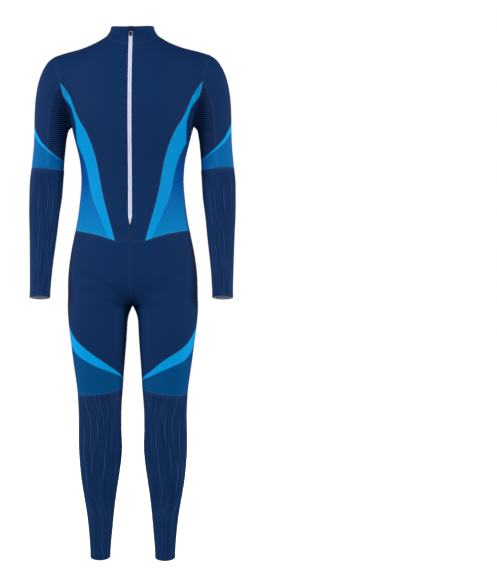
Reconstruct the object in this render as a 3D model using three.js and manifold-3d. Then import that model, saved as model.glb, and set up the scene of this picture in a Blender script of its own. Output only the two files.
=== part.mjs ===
// A one-piece cross-country ski racing suit, filled out as it is worn, with nobody in it.
// Millimetres. X runs to the wearer's left, -Y to the front and +Z up. The origin is where
// the wearer's neck and shoulders hold the suit up: the middle of the neck, at collar height.
//
// The suit's form is one smooth body, given by short tables of sections. Every panel is a
// grid of points on that body between shared seam lines, with a thin wall behind it.

import * as THREE from "three";
import { mergeVertices } from "three/addons/utils/BufferGeometryUtils.js";
import Module from "manifold-3d";

// Cloth and seams
const WALL = 1.6; // knitted cloth with its bonded print
const COLLAR_WALL = 2.4; // the collar is two layers
const SEAM_GAP = 0.3; // panels stand this far apart
const LAID_GAP = 0.3; // between a panel and what lies on it

// Centre front zip
const ZIP_HALF_WIDTH = 5;
const ZIP_BOTTOM = -518.5;
const ZIP_TAPER = 22; // the tape narrows to a point over this length
const ZIP_POINT = 0.6; // half width of the tape's blunt point
const ZIP_TOP = 11;
const ZIP_LIFT = 0.5; // the tape stands this far proud of the cloth

// Front panels, collar and waist
const COLLAR_SEAM = { front: -34, side: -4, back: -6 };
const COLLAR_TOP = { front: 15, side: 22, back: 30 };
const NECK_AXIS_Y = -6;
const NECK_REACH = { side: 76, front: 59 }; // from the neck's axis to the collar seam
const WAIST = { front: -562.5, side: -532.5, back: -533 };
const SHOULDER_SEAM_Y = 6;

// Armhole: a plane that leans out towards the shoulder tip
const ARMHOLE = { armpitX: 169, armpitZ: -238, middleZ: -138, lean: 0.23 };

// Crotch, knee and elbow seams, cuffs and ankle hems
const CROTCH_Y = 12;
const KNEE = { middle: -965.5, outerDrop: 8, frontDrop: 10.5 };
const ELBOW_SEAM = { z: -366, outerRise: 4 };
const CUFF = { z: -713.5, tilt: 0.245 };
const HEM = { side: -1421, frontDrop: 5, backDrop: 7 };

// Below the armpit, sleeve and side stand apart, and each is shaped by its own form alone.
const ARMPIT_SPLIT = { z: -247, fade: 0.7 };

// How softly the limbs run into the trunk
const CROTCH_BLEND = 19;
const HIP_BLEND = 26;
const SHOULDER_BLEND = { above: 46, below: 20, from: -110, to: -225 };

// Rows of a table as objects, with a name for each column.
const table = (names, rows) =>
  rows.map((row) => Object.fromEntries(names.map((name, i) => [name, row[i]])));

// Trunk and neck: level sections, each a rounded oval, with its depth to the front and back.
const TRUNK = table(
  ["z", "halfWidth", "front", "back", "roundness"],
  [
    [60, 56, 64, 43, 2.0],
    [40, 57, 64, 44, 2.0],
    [20, 59, 65, 48, 2.0],
    [10, 62, 67, 53, 2.0],
    [3, 66, 69, 59, 2.0],
    [-3, 71, 71, 64, 2.0],
    [-9, 79, 74, 70, 2.0],
    [-15, 88, 77, 75, 2.0],
    [-22, 100, 80, 80, 2.05],
    [-31, 121, 84, 85, 2.1],
    [-40, 145, 88, 91, 2.15],
    [-52, 167, 93, 97, 2.2],
    [-68, 174, 99, 103, 2.2],
    [-92, 179, 104, 106, 2.2],
    [-112, 182, 108, 108, 2.25],
    [-150, 177, 115, 109, 2.4],
    [-200, 170.5, 120, 107, 2.55],
    [-250, 165, 119, 101, 2.5],
    [-300, 153.5, 114, 92, 2.3],
    [-350, 142.5, 107, 85, 2.25],
    [-400, 139.5, 102, 81, 2.2],
    [-450, 143.5, 100, 83, 2.2],
    [-500, 150, 100, 91, 2.2],
    [-550, 160, 101, 104, 2.25],
    [-600, 169, 100, 117, 2.3],
    [-650, 174, 96, 124, 2.3],
    [-690, 172, 88, 119, 2.3],
    [-715, 150, 70, 95, 2.2],
    [-728, 110, 45, 62, 2.0],
    [-735, 40, 20, 28, 2.0],
  ],
);

// Arm, from the shoulder joint to the wrist.
const ARM = table(
  ["z", "x", "y", "halfWidth", "halfDepth"],
  [
    [-100, 199, 4, 54, 56],
    [-142, 210, 4, 54, 58],
    [-169, 216, 4, 51, 57],
    [-196, 219, 3, 50, 56],
    [-250, 222, 2, 48, 53],
    [-294, 225.5, 0, 44.6, 50],
    [-338, 229.5, -3, 44.4, 48],
    [-362, 231.4, -4.5, 44.7, 47.5],
    [-372, 232.9, -5.5, 46.4, 49],
    [-403, 234.6, -9, 46.2, 49],
    [-447, 236.2, -15, 45, 47],
    [-490, 239.4, -22, 41.6, 43],
    [-534, 240.4, -29, 38.4, 38],
    [-577, 242.1, -37, 35.2, 33.4],
    [-621, 244.1, -45, 32, 29.2],
    [-665, 245.3, -54, 29.4, 26],
    [-730, 246.6, -67, 27.2, 23.2],
  ],
);
const SHOULDER_DOME = 44; // height of the rounded top above the shoulder joint

// Leg, from inside the hip to the ankle.
const LEG = table(
  ["z", "x", "y", "halfWidth", "halfDepth"],
  [
    [-560, 80, 8, 62, 82],
    [-640, 86, 12, 74, 92],
    [-700, 91, 13, 81.5, 97],
    [-735, 94, 12, 85, 98],
    [-752, 95.2, 10, 83.1, 96.5],
    [-774, 95.5, 8, 81.2, 94],
    [-796, 94.6, 6, 79.6, 91],
    [-840, 92.9, 3, 75.3, 84],
    [-883, 91.9, 1, 70.8, 77.5],
    [-927, 90.4, 0, 66, 71],
    [-960, 88.8, 0, 62.5, 67],
    [-1013, 89.4, 2, 58.9, 64],
    [-1040, 89.4, 6, 57.8, 62.5],
    [-1080, 89.8, 11, 59.2, 64],
    [-1122, 88.8, 15, 60.2, 65],
    [-1166, 89.3, 17, 57, 62],
    [-1210, 90.6, 17, 51.4, 56.5],
    [-1253, 90.2, 15, 44.6, 49.5],
    [-1297, 88.8, 12, 37.8, 43.5],
    [-1340, 88, 10, 33.2, 39.5],
    [-1384, 88.2, 8, 29.2, 36.2],
    [-1430, 88.4, 7, 26.4, 34],
  ],
);
const LEG_ROUNDNESS = 2.15;

// A smooth curve without overshoot through one column of a table, against another.
function curveThrough(rows, from, to) {
  const sorted = [...rows].sort((a, b) => a[from] - b[from]);
  const x = sorted.map((row) => row[from]);
  const y = sorted.map((row) => row[to]);
  const last = x.length - 1;
  const slope = x.slice(1).map((next, i) => (y[i + 1] - y[i]) / (next - x[i]));
  const tangent = x.map((_, i) => {
    if (i === 0) return slope[0];
    if (i === last) return slope[last - 1];
    const before = slope[i - 1];
    const after = slope[i];
    if (before * after <= 0) return 0;
    const a = x[i] - x[i - 1];
    const b = x[i + 1] - x[i];
    return (3 * (a + b)) / ((2 * b + a) / before + (b + 2 * a) / after);
  });
  return (at) => {
    if (at <= x[0]) return y[0];
    if (at >= x[last]) return y[last];
    let i = 0;
    while (at > x[i + 1]) i++;
    const h = x[i + 1] - x[i];
    const t = (at - x[i]) / h;
    const s = 1 - t;
    return (
      y[i] * (1 + 2 * t) * s * s +
      h * tangent[i] * t * s * s +
      y[i + 1] * t * t * (3 - 2 * t) -
      h * tangent[i + 1] * t * t * s
    );
  };
}

const curvesOf = (rows) =>
  Object.fromEntries(
    Object.keys(rows[0])
      .filter((name) => name !== "z")
      .map((name) => [name, curveThrough(rows, "z", name)]),
  );
const trunk = curvesOf(TRUNK);
const arm = curvesOf(ARM);
const leg = curvesOf(LEG);

// Distance from a rounded oval in its own plane: below 0 inside it.
function ovalDistance(x, y, halfWidth, depth, roundness) {
  const across = Math.abs(x / halfWidth) ** roundness + Math.abs(y / depth) ** roundness;
  const size = across ** (1 / roundness);
  if (size < 1e-6) return -Math.min(halfWidth, depth);
  return Math.hypot(x, y) * (1 - 1 / size);
}

function trunkDistance(x, y, z) {
  const low = TRUNK.at(-1).z;
  if (z < low) return Math.hypot(x, y, z - low) + 1;
  const at = (height) =>
    ovalDistance(
      x,
      y,
      trunk.halfWidth(height),
      y < 0 ? trunk.front(height) : trunk.back(height),
      trunk.roundness(height),
    );
  const slope = (at(z + 1) - at(z - 1)) / 2;
  return at(z) / Math.hypot(1, slope);
}

function armDistance(x, y, z) {
  const joint = ARM[0].z;
  const level = Math.min(z, joint);
  const dx = x - arm.x(level);
  const dy = y - arm.y(level);
  const above = Math.max(0, z - joint);
  const size = Math.hypot(
    dx / arm.halfWidth(level),
    dy / arm.halfDepth(level),
    above / SHOULDER_DOME,
  );
  if (size < 1e-6) return -arm.halfWidth(level);
  return Math.hypot(dx, dy, above) * (1 - 1 / size);
}

function legDistance(x, y, z) {
  const top = LEG[0].z;
  if (z > top) return Math.hypot(x - LEG[0].x, y, z - top);
  return ovalDistance(
    x - leg.x(z),
    y - leg.y(z),
    leg.halfWidth(z),
    leg.halfDepth(z),
    LEG_ROUNDNESS,
  );
}

// The smaller of two distances, with a soft run from one form into the other.
function softMin(a, b, blend) {
  const share = Math.max(0, blend - Math.abs(a - b)) / blend;
  return Math.min(a, b) - (share * share * blend) / 4;
}

function shoulderBlend(z) {
  const { above, below, from, to } = SHOULDER_BLEND;
  const t = THREE.MathUtils.smoothstep(z, to, from);
  return below + (above - below) * t;
}

// Distance from the body that the suit is stretched over. Under the armpit the trunk's
// panels leave out the arm, and the sleeve's panels leave out the trunk.
function bodyDistance(p, panelOf) {
  const x = Math.abs(p.x);
  const legs = softMin(
    legDistance(x, p.y, p.z),
    legDistance(-x, p.y, p.z),
    CROTCH_BLEND,
  );
  const apart = ARMPIT_SPLIT.fade * Math.max(0, ARMPIT_SPLIT.z - p.z);
  const lower =
    softMin(trunkDistance(x, p.y, p.z), legs, HIP_BLEND) +
    (panelOf === "arm" ? apart : 0);
  const sleeve = armDistance(x, p.y, p.z) + (panelOf === "trunk" ? apart : 0);
  return softMin(lower, sleeve, shoulderBlend(p.z));
}

const vec = (x, y, z) => new THREE.Vector3(x, y, z);

function outward(p, panelOf) {
  const step = 0.4;
  const along = (axis) => {
    const a = p.clone();
    const b = p.clone();
    a[axis] += step;
    b[axis] -= step;
    return bodyDistance(a, panelOf) - bodyDistance(b, panelOf);
  };
  return vec(along("x"), along("y"), along("z")).normalize();
}

// The first point where a ray from inside the body comes out. A ray that reaches the middle
// plane from the wearer's left stops there.
function exitPoint(from, direction, panelOf = "trunk") {
  const stride = 2;
  const reach = 420;
  const at = (t) => from.clone().addScaledVector(direction, t);
  const inside = (t) => {
    const p = at(t);
    return bodyDistance(p, panelOf) < 0 && (from.x <= 0 || p.x >= 0);
  };
  let near = 0;
  while (near < reach && inside(near + stride)) near += stride;
  let far = near + stride;
  for (let i = 0; i < 24; i++) {
    const middle = (near + far) / 2;
    if (inside(middle)) near = middle;
    else far = middle;
  }
  return at(near);
}

// Moves a point that is close to the body onto it.
function ontoBody(point, panelOf) {
  const p = point.clone();
  for (let i = 0; i < 12; i++)
    p.addScaledVector(outward(p, panelOf), -bodyDistance(p, panelOf));
  return p;
}

const TOWARDS_FRONT = vec(0, -1, 0);
const TOWARDS_BACK = vec(0, 1, 0);
const frontPoint = (x, z) => exitPoint(vec(x, 0, z), TOWARDS_FRONT);
const backPoint = (x, z) => exitPoint(vec(x, 0, z), TOWARDS_BACK);

// A polyline cut into equal lengths.
function evenly(points, segments) {
  const reach = [0];
  points.slice(1).forEach((p, i) => reach.push(reach[i] + p.distanceTo(points[i])));
  const total = reach.at(-1);
  let i = 0;
  return Array.from({ length: segments + 1 }, (_, k) => {
    const want = (total * k) / segments;
    while (i < points.length - 2 && reach[i + 1] < want) i++;
    const span = reach[i + 1] - reach[i] || 1;
    return points[i].clone().lerp(points[i + 1], (want - reach[i]) / span);
  });
}

const samples = (count, make) =>
  Array.from({ length: count + 1 }, (_, i) => make(i / count));
const mix = THREE.MathUtils.lerp;
const mirrored = (points) => points.map((p) => vec(-p.x, p.y, p.z));
const DENSE = 80;

// Seam lines on the wearer's left, each shared by the panels on its two sides

// How many straight stretches each seam has.
const CUTS = {
  waistFront: 4,
  waistSide: 16,
  waistBack: 4,
  side: 12,
  armholeFront: 5,
  armholeUnder: 16,
  armholeBack: 7,
  shoulder: 4,
  collarFront: 7,
  collarBack: 5,
  meshSide: 10,
  meshBottom: 8,
  sleeve: 11,
  elbowOuter: 12,
  elbowInner: 12,
  forearm: 13,
  forearmRound: 22,
  centreSeam: 8,
  legRound: 26,
  thigh: 8,
  shin: 14,
  shinRound: 24,
  zip: 18,
  zipAtNeck: 6,
};

// Curved seams of the coloured side panel, across the front and the back.
const FRONT_SIDE_SEAM = table(
  ["z", "x"],
  [
    [-176, 163],
    [-200, 154],
    [-232, 142.5],
    [-268, 118],
    [-305, 103],
    [-342, 91.5],
    [-395, 82],
    [-435, 75],
    [-477, 64],
    [-517, 52.5],
    [-562.5, 40],
  ],
);
const BACK_SIDE_SEAM = table(
  ["z", "x"],
  [
    [-204, 152],
    [-228, 140],
    [-254, 127],
    [-285, 110],
    [-322, 93],
    [-367, 80],
    [-415, 69],
    [-471, 59],
    [-533, 49],
  ],
);
const ARMHOLE_FRONT_JOINT_Z = -130;
const ARMHOLE_BACK_JOINT_Z = -168;

// The armhole loop: from the shoulder tip down the front, round the armpit and up the back.
function armholeLoop() {
  const { armpitX, armpitZ, middleZ, lean } = ARMHOLE;
  const up = vec(lean, 0, 1).normalize();
  const centre = vec(armpitX + lean * (middleZ - armpitZ), 0, middleZ);
  const around = samples(4 * DENSE, (t) => {
    const turn = 2 * Math.PI * t;
    const direction = up
      .clone()
      .multiplyScalar(Math.cos(turn))
      .addScaledVector(TOWARDS_FRONT, Math.sin(turn));
    return exitPoint(centre, direction);
  });
  const half = around.length / 2;
  const frontAt = around.findIndex((p) => p.z < ARMHOLE_FRONT_JOINT_Z);
  const backAt = around.findIndex(
    (p, i) => i > half && p.z > ARMHOLE_BACK_JOINT_Z,
  );
  return {
    front: evenly(around.slice(0, frontAt + 1), CUTS.armholeFront),
    under: evenly(around.slice(frontAt, backAt + 1), CUTS.armholeUnder),
    back: evenly(around.slice(backAt), CUTS.armholeBack),
  };
}
const armhole = armholeLoop();

const frontSideSeam = evenly(
  [
    armhole.under[0],
    ...samples(DENSE, (t) => {
      const z = mix(FRONT_SIDE_SEAM[0].z, WAIST.front, t);
      return frontPoint(curveThrough(FRONT_SIDE_SEAM, "z", "x")(z), z);
    }),
  ],
  CUTS.side,
).map((p) => ontoBody(p, "trunk"));
const backSideSeam = evenly(
  [
    armhole.under.at(-1),
    ...samples(DENSE, (t) => {
      const z = mix(BACK_SIDE_SEAM[0].z, WAIST.back, t);
      return backPoint(curveThrough(BACK_SIDE_SEAM, "z", "x")(z), z);
    }),
  ],
  CUTS.side,
).map((p) => ontoBody(p, "trunk"));

// The waist seam, from the centre front round the left side to the centre back.
function waistSeam() {
  const frontCorner = frontSideSeam.at(-1);
  const backCorner = backSideSeam.at(-1);
  const angleOf = (p) => Math.atan2(p.y, p.x);
  const level = (from, to, segments, height) =>
    evenly(
      samples(DENSE, (t) => {
        const turn = mix(from, to, t);
        const z = height(t);
        return exitPoint(vec(0, 0, z), vec(Math.cos(turn), Math.sin(turn), 0));
      }),
      segments,
    );
  const front = angleOf(frontCorner);
  const back = angleOf(backCorner);
  // Seen from the front or the back, the seam is straight from the panel's corner to its side.
  const aroundSide = (t) => {
    const turn = mix(front, back, t);
    const corner = turn < 0 ? front : back;
    const share = (Math.cos(turn) - Math.cos(corner)) / (1 - Math.cos(corner));
    return mix(turn < 0 ? WAIST.front : WAIST.back, WAIST.side, share);
  };
  return {
    front: level(-Math.PI / 2, front, CUTS.waistFront, () => WAIST.front),
    side: level(front, back, CUTS.waistSide, aroundSide),
    back: level(back, Math.PI / 2, CUTS.waistBack, () => WAIST.back),
  };
}
const waist = waistSeam();
frontSideSeam[CUTS.side] = waist.side[0].clone();
backSideSeam[CUTS.side] = waist.side.at(-1).clone();

// A level line round the neck, at heights given for its front, side and back.
function neckLine(heights, from, to, segments) {
  return evenly(
    samples(DENSE, (t) => {
      const turn = mix(from, to, t);
      const forward = -Math.sin(turn);
      const end = forward > 0 ? heights.front : heights.back;
      const z = mix(heights.side, end, forward * forward);
      const direction = vec(Math.cos(turn), Math.sin(turn), 0);
      return exitPoint(vec(0, NECK_AXIS_Y, z), direction);
    }),
    segments,
  );
}
const SHOULDER_TURN = Math.atan2(SHOULDER_SEAM_Y - NECK_AXIS_Y, NECK_REACH.side);
const ZIP_EDGE_TURN =
  -Math.PI / 2 + Math.atan2(ZIP_HALF_WIDTH + SEAM_GAP / 2, NECK_REACH.front);
const neck = {
  front: neckLine(COLLAR_SEAM, ZIP_EDGE_TURN, SHOULDER_TURN, CUTS.collarFront),
  back: neckLine(COLLAR_SEAM, SHOULDER_TURN, Math.PI / 2, CUTS.collarBack),
};

// The shoulder seam, from the neck to the shoulder tip.
const shoulderSeam = evenly(
  samples(DENSE, (t) => {
    const p = neck.back[0].clone().lerp(armhole.front[0], t);
    return exitPoint(vec(p.x, p.y, -90), vec(0, 0, 1));
  }),
  CUTS.shoulder,
);
shoulderSeam[0] = neck.back[0].clone();
shoulderSeam[CUTS.shoulder] = armhole.front[0].clone();

// The front panel's edge beside the zip, and below the zip on the centre seam, going up.
function zipEdge() {
  const beside = ZIP_HALF_WIDTH + SEAM_GAP / 2;
  const pointed = ZIP_BOTTOM + ZIP_TAPER;
  const upTo = (from, to, x, segments) =>
    samples(segments, (t) => frontPoint(x, mix(from, to, t)));
  const top = neck.front[0];
  const rowsBelowTape = 3; // the waist corner, one point on the centre seam, the tape's point
  const rowsBesideTape = CUTS.side + CUTS.armholeFront - rowsBelowTape;
  return [
    waist.front[0].clone(),
    frontPoint(0, mix(WAIST.front, ZIP_BOTTOM - SEAM_GAP, 0.5)),
    frontPoint(ZIP_POINT + SEAM_GAP / 2, ZIP_BOTTOM - SEAM_GAP),
    ...upTo(pointed, top.z, beside, rowsBesideTape).slice(0, -1),
    top.clone(),
  ];
}

// A grid between four seam lines, moved onto the body. Its rows run from one side line to
// the other, and each row has its own number of stretches, from the first row to the last.
function gridBetween(bottom, top, left, right, panelOf) {
  const rows = left.length - 1;
  const on = (line, t) => {
    const at = t * (line.length - 1);
    const i = Math.min(line.length - 2, Math.floor(at));
    return line[i].clone().lerp(line[i + 1], at - i);
  };
  const corner = [bottom[0], bottom.at(-1), top[0], top.at(-1)];
  return left.map((start, r) => {
    if (r === 0) return bottom;
    if (r === rows) return top;
    const v = r / rows;
    const columns = Math.round(mix(bottom.length - 1, top.length - 1, v));
    const end = right[r];
    return samples(columns, (u) => {
      if (u === 0) return start;
      if (u === 1) return end;
      const p = on(bottom, u).multiplyScalar(1 - v).addScaledVector(on(top, u), v);
      p.addScaledVector(start, 1 - u).addScaledVector(end, u);
      p.addScaledVector(corner[0], -(1 - u) * (1 - v));
      p.addScaledVector(corner[1], -u * (1 - v));
      p.addScaledVector(corner[2], -(1 - u) * v);
      p.addScaledVector(corner[3], -u * v);
      return ontoBody(p, panelOf);
    });
  });
}

// Triangles between two neighbouring rows, taking the shorter diagonal each time.
function strip(upper, lower, upperStart, lowerStart) {
  const faces = [];
  let i = 0;
  let j = 0;
  while (i < upper.length - 1 || j < lower.length - 1) {
    const alongUpper =
      i < upper.length - 1 ? upper[i + 1].distanceTo(lower[j]) : Infinity;
    const alongLower =
      j < lower.length - 1 ? upper[i].distanceTo(lower[j + 1]) : Infinity;
    if (alongUpper <= alongLower) {
      faces.push([upperStart + i, lowerStart + j, upperStart + i + 1]);
      i++;
    } else {
      faces.push([upperStart + i, lowerStart + j, lowerStart + j + 1]);
      j++;
    }
  }
  return faces;
}

// The edge of a panel all the way round, as point numbers.
function edgeOf(rows, starts) {
  const last = rows.length - 1;
  const numbers = (r) => rows[r].map((_, i) => starts[r] + i);
  const between = rows.map((_, r) => r).slice(1, last);
  const rightSide = between.map((r) => starts[r] + rows[r].length - 1);
  const leftSide = between.map((r) => starts[r]).reverse();
  return [...numbers(0), ...rightSide, ...numbers(last).reverse(), ...leftSide];
}

// How far each edge point moves along the cloth, so that the seam has its gap.
function seamSteps(points, normals, edge, towardsPanel, gap) {
  const count = edge.length;
  const sideways = (a, b, normal) =>
    points[b].clone().sub(points[a]).cross(normal).normalize();
  const first = edge[1];
  const turn = sideways(first, edge[2], normals[first]);
  const inward = Math.sign(turn.dot(points[towardsPanel].clone().sub(points[first])));
  return edge.map((id, i) => {
    const one = sideways(edge[(i + count - 1) % count], id, normals[id]);
    const two = sideways(id, edge[(i + 1) % count], normals[id]);
    const spread = Math.max(0.35, 1 + one.dot(two));
    return one.add(two).multiplyScalar((inward * gap) / 2 / spread);
  });
}

// A cloth panel from rows of points on the body: an outer face, an inner face one wall
// behind it, and the cut edges between them.
function clothSolid(rows, panelOf, { wall = WALL, lift = 0, gap = SEAM_GAP } = {}) {
  const points = rows.flat();
  const normals = points.map((p) => outward(p, panelOf));
  const starts = rows.map((_, r) => rows.slice(0, r).flat().length);
  const skin = rows
    .slice(1)
    .flatMap((row, r) => strip(rows[r], row, starts[r], starts[r + 1]));
  const edge = edgeOf(rows, starts);
  const steps = seamSteps(points, normals, edge, starts[1], gap);
  const moved = points.map((p) => p.clone());
  edge.forEach((id, i) => moved[id].add(steps[i]));

  const outer = moved.map((p, i) => p.clone().addScaledVector(normals[i], lift));
  const inner = moved.map((p, i) => p.clone().addScaledVector(normals[i], lift - wall));
  const count = points.length;
  const back = skin.map(([a, b, c]) => [a + count, c + count, b + count]);
  const rim = edge.flatMap((a, i) => {
    const b = edge[(i + 1) % edge.length];
    return rimFaces(a, b, count, points);
  });
  return solidFrom([...outer, ...inner], [...skin, ...back, ...matched(rim, skin)]);
}

// One stretch of the rim. Both panels at a seam split it along the same diagonal, which
// starts at its higher end, or on a level seam at the end further back.
function rimFaces(a, b, count, points) {
  const rank = (p) => p.z + p.y / 100;
  if (rank(points[a]) > rank(points[b]))
    return [
      [b, a, a + count],
      [b, a + count, b + count],
    ];
  return [
    [b, a, b + count],
    [a, a + count, b + count],
  ];
}

// Turns the rim's faces to agree with the skin that they join.
function matched(rim, skin) {
  const [b, a] = rim[0];
  const agrees = skin.some((face) =>
    face.some((id, i) => id === a && face[(i + 1) % 3] === b),
  );
  return agrees ? rim : rim.map(([p, q, r]) => [p, r, q]);
}

// A geometry whose faces all point outwards, whichever way its rows ran.
function solidFrom(points, faces) {
  const volume = faces.reduce(
    (sum, [a, b, c]) => sum + points[a].dot(points[b].clone().cross(points[c])),
    0,
  );
  const turned = volume < 0 ? faces.map(([a, b, c]) => [a, c, b]) : faces;
  const geometry = new THREE.BufferGeometry();
  const position = points.flatMap((p) => p.toArray());
  geometry.setAttribute("position", new THREE.Float32BufferAttribute(position, 3));
  geometry.setIndex(turned.flat());
  geometry.computeVertexNormals();
  return geometry;
}

// Trunk panels of the wearer's left, and those that cross the middle

const backwards = (line) => [...line].reverse();
const joined = (...lines) => lines.flatMap((line, i) => (i ? line.slice(1) : line));

function bodiceFrontRows() {
  const outer = joined(backwards(frontSideSeam), backwards(armhole.front));
  const top = joined(neck.front, shoulderSeam);
  return gridBetween(waist.front, top, zipEdge(), outer, "trunk");
}

function sidePanelRows() {
  return gridBetween(
    waist.side,
    armhole.under,
    backwards(frontSideSeam),
    backwards(backSideSeam),
    "trunk",
  );
}

// The edge of the fine mesh inset in the back: down its left side and round its bottom.
const BACK_MESH = {
  side: table(
    ["z", "x"],
    [
      [-14, 80],
      [-50, 93],
      [-100, 105],
      [-150, 109],
      [-200, 106],
      [-250, 96],
      [-290, 81],
      [-318, 62],
    ],
  ),
  bottomZ: -356,
};
function backMeshLines() {
  const sideX = curveThrough(BACK_MESH.side, "z", "x");
  const first = BACK_MESH.side[0];
  const last = BACK_MESH.side.at(-1);
  const side = evenly(
    [
      neck.back[0],
      ...samples(DENSE, (t) => {
        const z = mix(first.z, last.z, t);
        return backPoint(sideX(z), z);
      }),
    ],
    CUTS.meshSide,
  ).map((p) => ontoBody(p, "trunk"));
  side[0] = neck.back[0].clone();
  const bottom = evenly(
    samples(DENSE, (t) => {
      const across = Math.sin((Math.PI / 2) * (1 - 2 * t));
      const drop = (BACK_MESH.bottomZ - last.z) * Math.cos(Math.PI * (t - 0.5)) ** 1.3;
      return backPoint(last.x * across, last.z + drop);
    }),
    CUTS.meshBottom,
  );
  bottom[0] = side.at(-1).clone();
  bottom[CUTS.meshBottom] = mirrored([side.at(-1)])[0];
  return { side, bottom };
}
const backMesh = backMeshLines();

function backMeshRows() {
  const top = joined(neck.back, mirrored(backwards(neck.back)));
  const left = backwards(backMesh.side);
  return gridBetween(backMesh.bottom, top, left, mirrored(left), "trunk");
}

// The back runs as one piece from shoulder to shoulder, round the mesh inset.
function bodiceBackRows() {
  const half = joined(backwards(armhole.back), backSideSeam, waist.back);
  const outer = joined(half, mirrored(backwards(half)));
  const inner = joined(
    backMesh.side,
    backMesh.bottom,
    mirrored(backwards(backMesh.side)),
  );
  const left = backwards(shoulderSeam);
  return gridBetween(outer, inner, left, mirrored(left), "trunk");
}

// The collar, from the zip round the back to the zip again.
const COLLAR_ROWS = 3;
function collarRows() {
  return samples(COLLAR_ROWS, (v) => {
    const heights = Object.fromEntries(
      Object.keys(COLLAR_SEAM).map((end) => [
        end,
        mix(COLLAR_SEAM[end], COLLAR_TOP[end], v),
      ]),
    );
    const half = joined(
      neckLine(heights, ZIP_EDGE_TURN, SHOULDER_TURN, CUTS.collarFront),
      neckLine(heights, SHOULDER_TURN, Math.PI / 2, CUTS.collarBack),
    );
    return joined(half, mirrored(backwards(half)));
  });
}

// Sleeve of the wearer's left arm

// Seams of the mesh under the arm, along the sleeve's front and back.
const MESH_FRONT_SEAM = table(
  ["z", "x"],
  [
    [-140, 195],
    [-175, 211],
    [-220, 221],
    [-280, 224],
    [-366, 226.5],
  ],
);
const MESH_BACK_SEAM = table(
  ["z", "x"],
  [
    [-180, 191],
    [-210, 206],
    [-245, 216],
    [-290, 221],
    [-366, 225.5],
  ],
);
function sleeveSeam(start, rows, towards) {
  const line = evenly(
    [
      start,
      ...samples(DENSE, (t) => {
        const z = mix(rows[0].z, ELBOW_SEAM.z, t);
        return exitPoint(vec(curveThrough(rows, "z", "x")(z), 0, z), towards, "arm");
      }),
    ],
    CUTS.sleeve,
  ).map((p) => ontoBody(p, "arm"));
  line[0] = start.clone();
  return line;
}
const meshFrontSeam = sleeveSeam(armhole.under[0], MESH_FRONT_SEAM, TOWARDS_FRONT);
const meshBackSeam = sleeveSeam(armhole.under.at(-1), MESH_BACK_SEAM, TOWARDS_BACK);

// Points round a limb, from one turn to another, at a height given for each turn.
function roundLimb(curves, panelOf, centreZ, heightAt, from, to, segments) {
  const x = curves.x(centreZ);
  const y = curves.y(centreZ);
  return evenly(
    samples(2 * DENSE, (t) => {
      const turn = mix(from, to, t);
      const direction = vec(Math.cos(turn), Math.sin(turn), 0);
      return exitPoint(vec(x, y, heightAt(turn)), direction, panelOf);
    }),
    segments,
  );
}

const elbowTurn = (p) =>
  Math.atan2(p.y - arm.y(ELBOW_SEAM.z), p.x - arm.x(ELBOW_SEAM.z));
const elbowHeight = (turn) => ELBOW_SEAM.z + ELBOW_SEAM.outerRise * Math.cos(turn);
function elbowArc(from, to, segments, start, end) {
  const arc = roundLimb(arm, "arm", ELBOW_SEAM.z, elbowHeight, from, to, segments);
  arc[0] = start.clone();
  arc[segments] = end.clone();
  return arc;
}

function upperSleeveRows() {
  const start = meshFrontSeam.at(-1);
  const end = meshBackSeam.at(-1);
  const hem = elbowArc(elbowTurn(start), elbowTurn(end), CUTS.elbowOuter, start, end);
  return gridBetween(
    hem,
    joined(backwards(armhole.front), backwards(armhole.back)),
    backwards(meshFrontSeam),
    backwards(meshBackSeam),
    "arm",
  );
}

function underarmMeshRows() {
  const start = meshFrontSeam.at(-1);
  const end = meshBackSeam.at(-1);
  const turnedBack = elbowTurn(end) - 2 * Math.PI;
  const hem = elbowArc(elbowTurn(start), turnedBack, CUTS.elbowInner, start, end);
  return gridBetween(
    hem,
    armhole.under,
    backwards(meshFrontSeam),
    backwards(meshBackSeam),
    "arm",
  );
}

function forearmRows() {
  return samples(CUTS.forearm, (v) => {
    const z = mix(ELBOW_SEAM.z, CUFF.z, v);
    const tilt = CUFF.tilt * v * v;
    const depth = arm.halfDepth(z);
    const rise = ELBOW_SEAM.outerRise * (1 - v);
    const height = (turn) => z - tilt * depth * Math.sin(turn) + rise * Math.cos(turn);
    return roundLimb(arm, "arm", z, height, Math.PI, -Math.PI, CUTS.forearmRound);
  });
}

// Leg of the wearer's left side

// The centre seam between the legs, from the waist under the crotch to the waist again.
function centreSeam() {
  const hipZ = -640;
  const start = vec(0, CROTCH_Y, hipZ);
  const crotch = exitPoint(start, vec(0, 0, -1));
  const half = (towards, waistZ, corner) => {
    const line = evenly(
      [
        ...samples(DENSE, (t) => exitPoint(vec(0, CROTCH_Y, mix(waistZ, hipZ, t)), towards)),
        ...samples(DENSE, (t) => {
          const turn = (Math.PI / 2) * t;
          const direction = towards.clone().multiplyScalar(Math.cos(turn));
          return exitPoint(start, direction.add(vec(0, 0, -Math.sin(turn))));
        }).slice(1),
      ],
      CUTS.centreSeam,
    );
    line[0] = corner.clone();
    line[CUTS.centreSeam] = crotch.clone();
    return line;
  };
  return {
    front: half(TOWARDS_FRONT, WAIST.front, waist.front[0]),
    back: half(TOWARDS_BACK, WAIST.back, waist.back.at(-1)),
    crotch,
  };
}
const centre = centreSeam();

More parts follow.
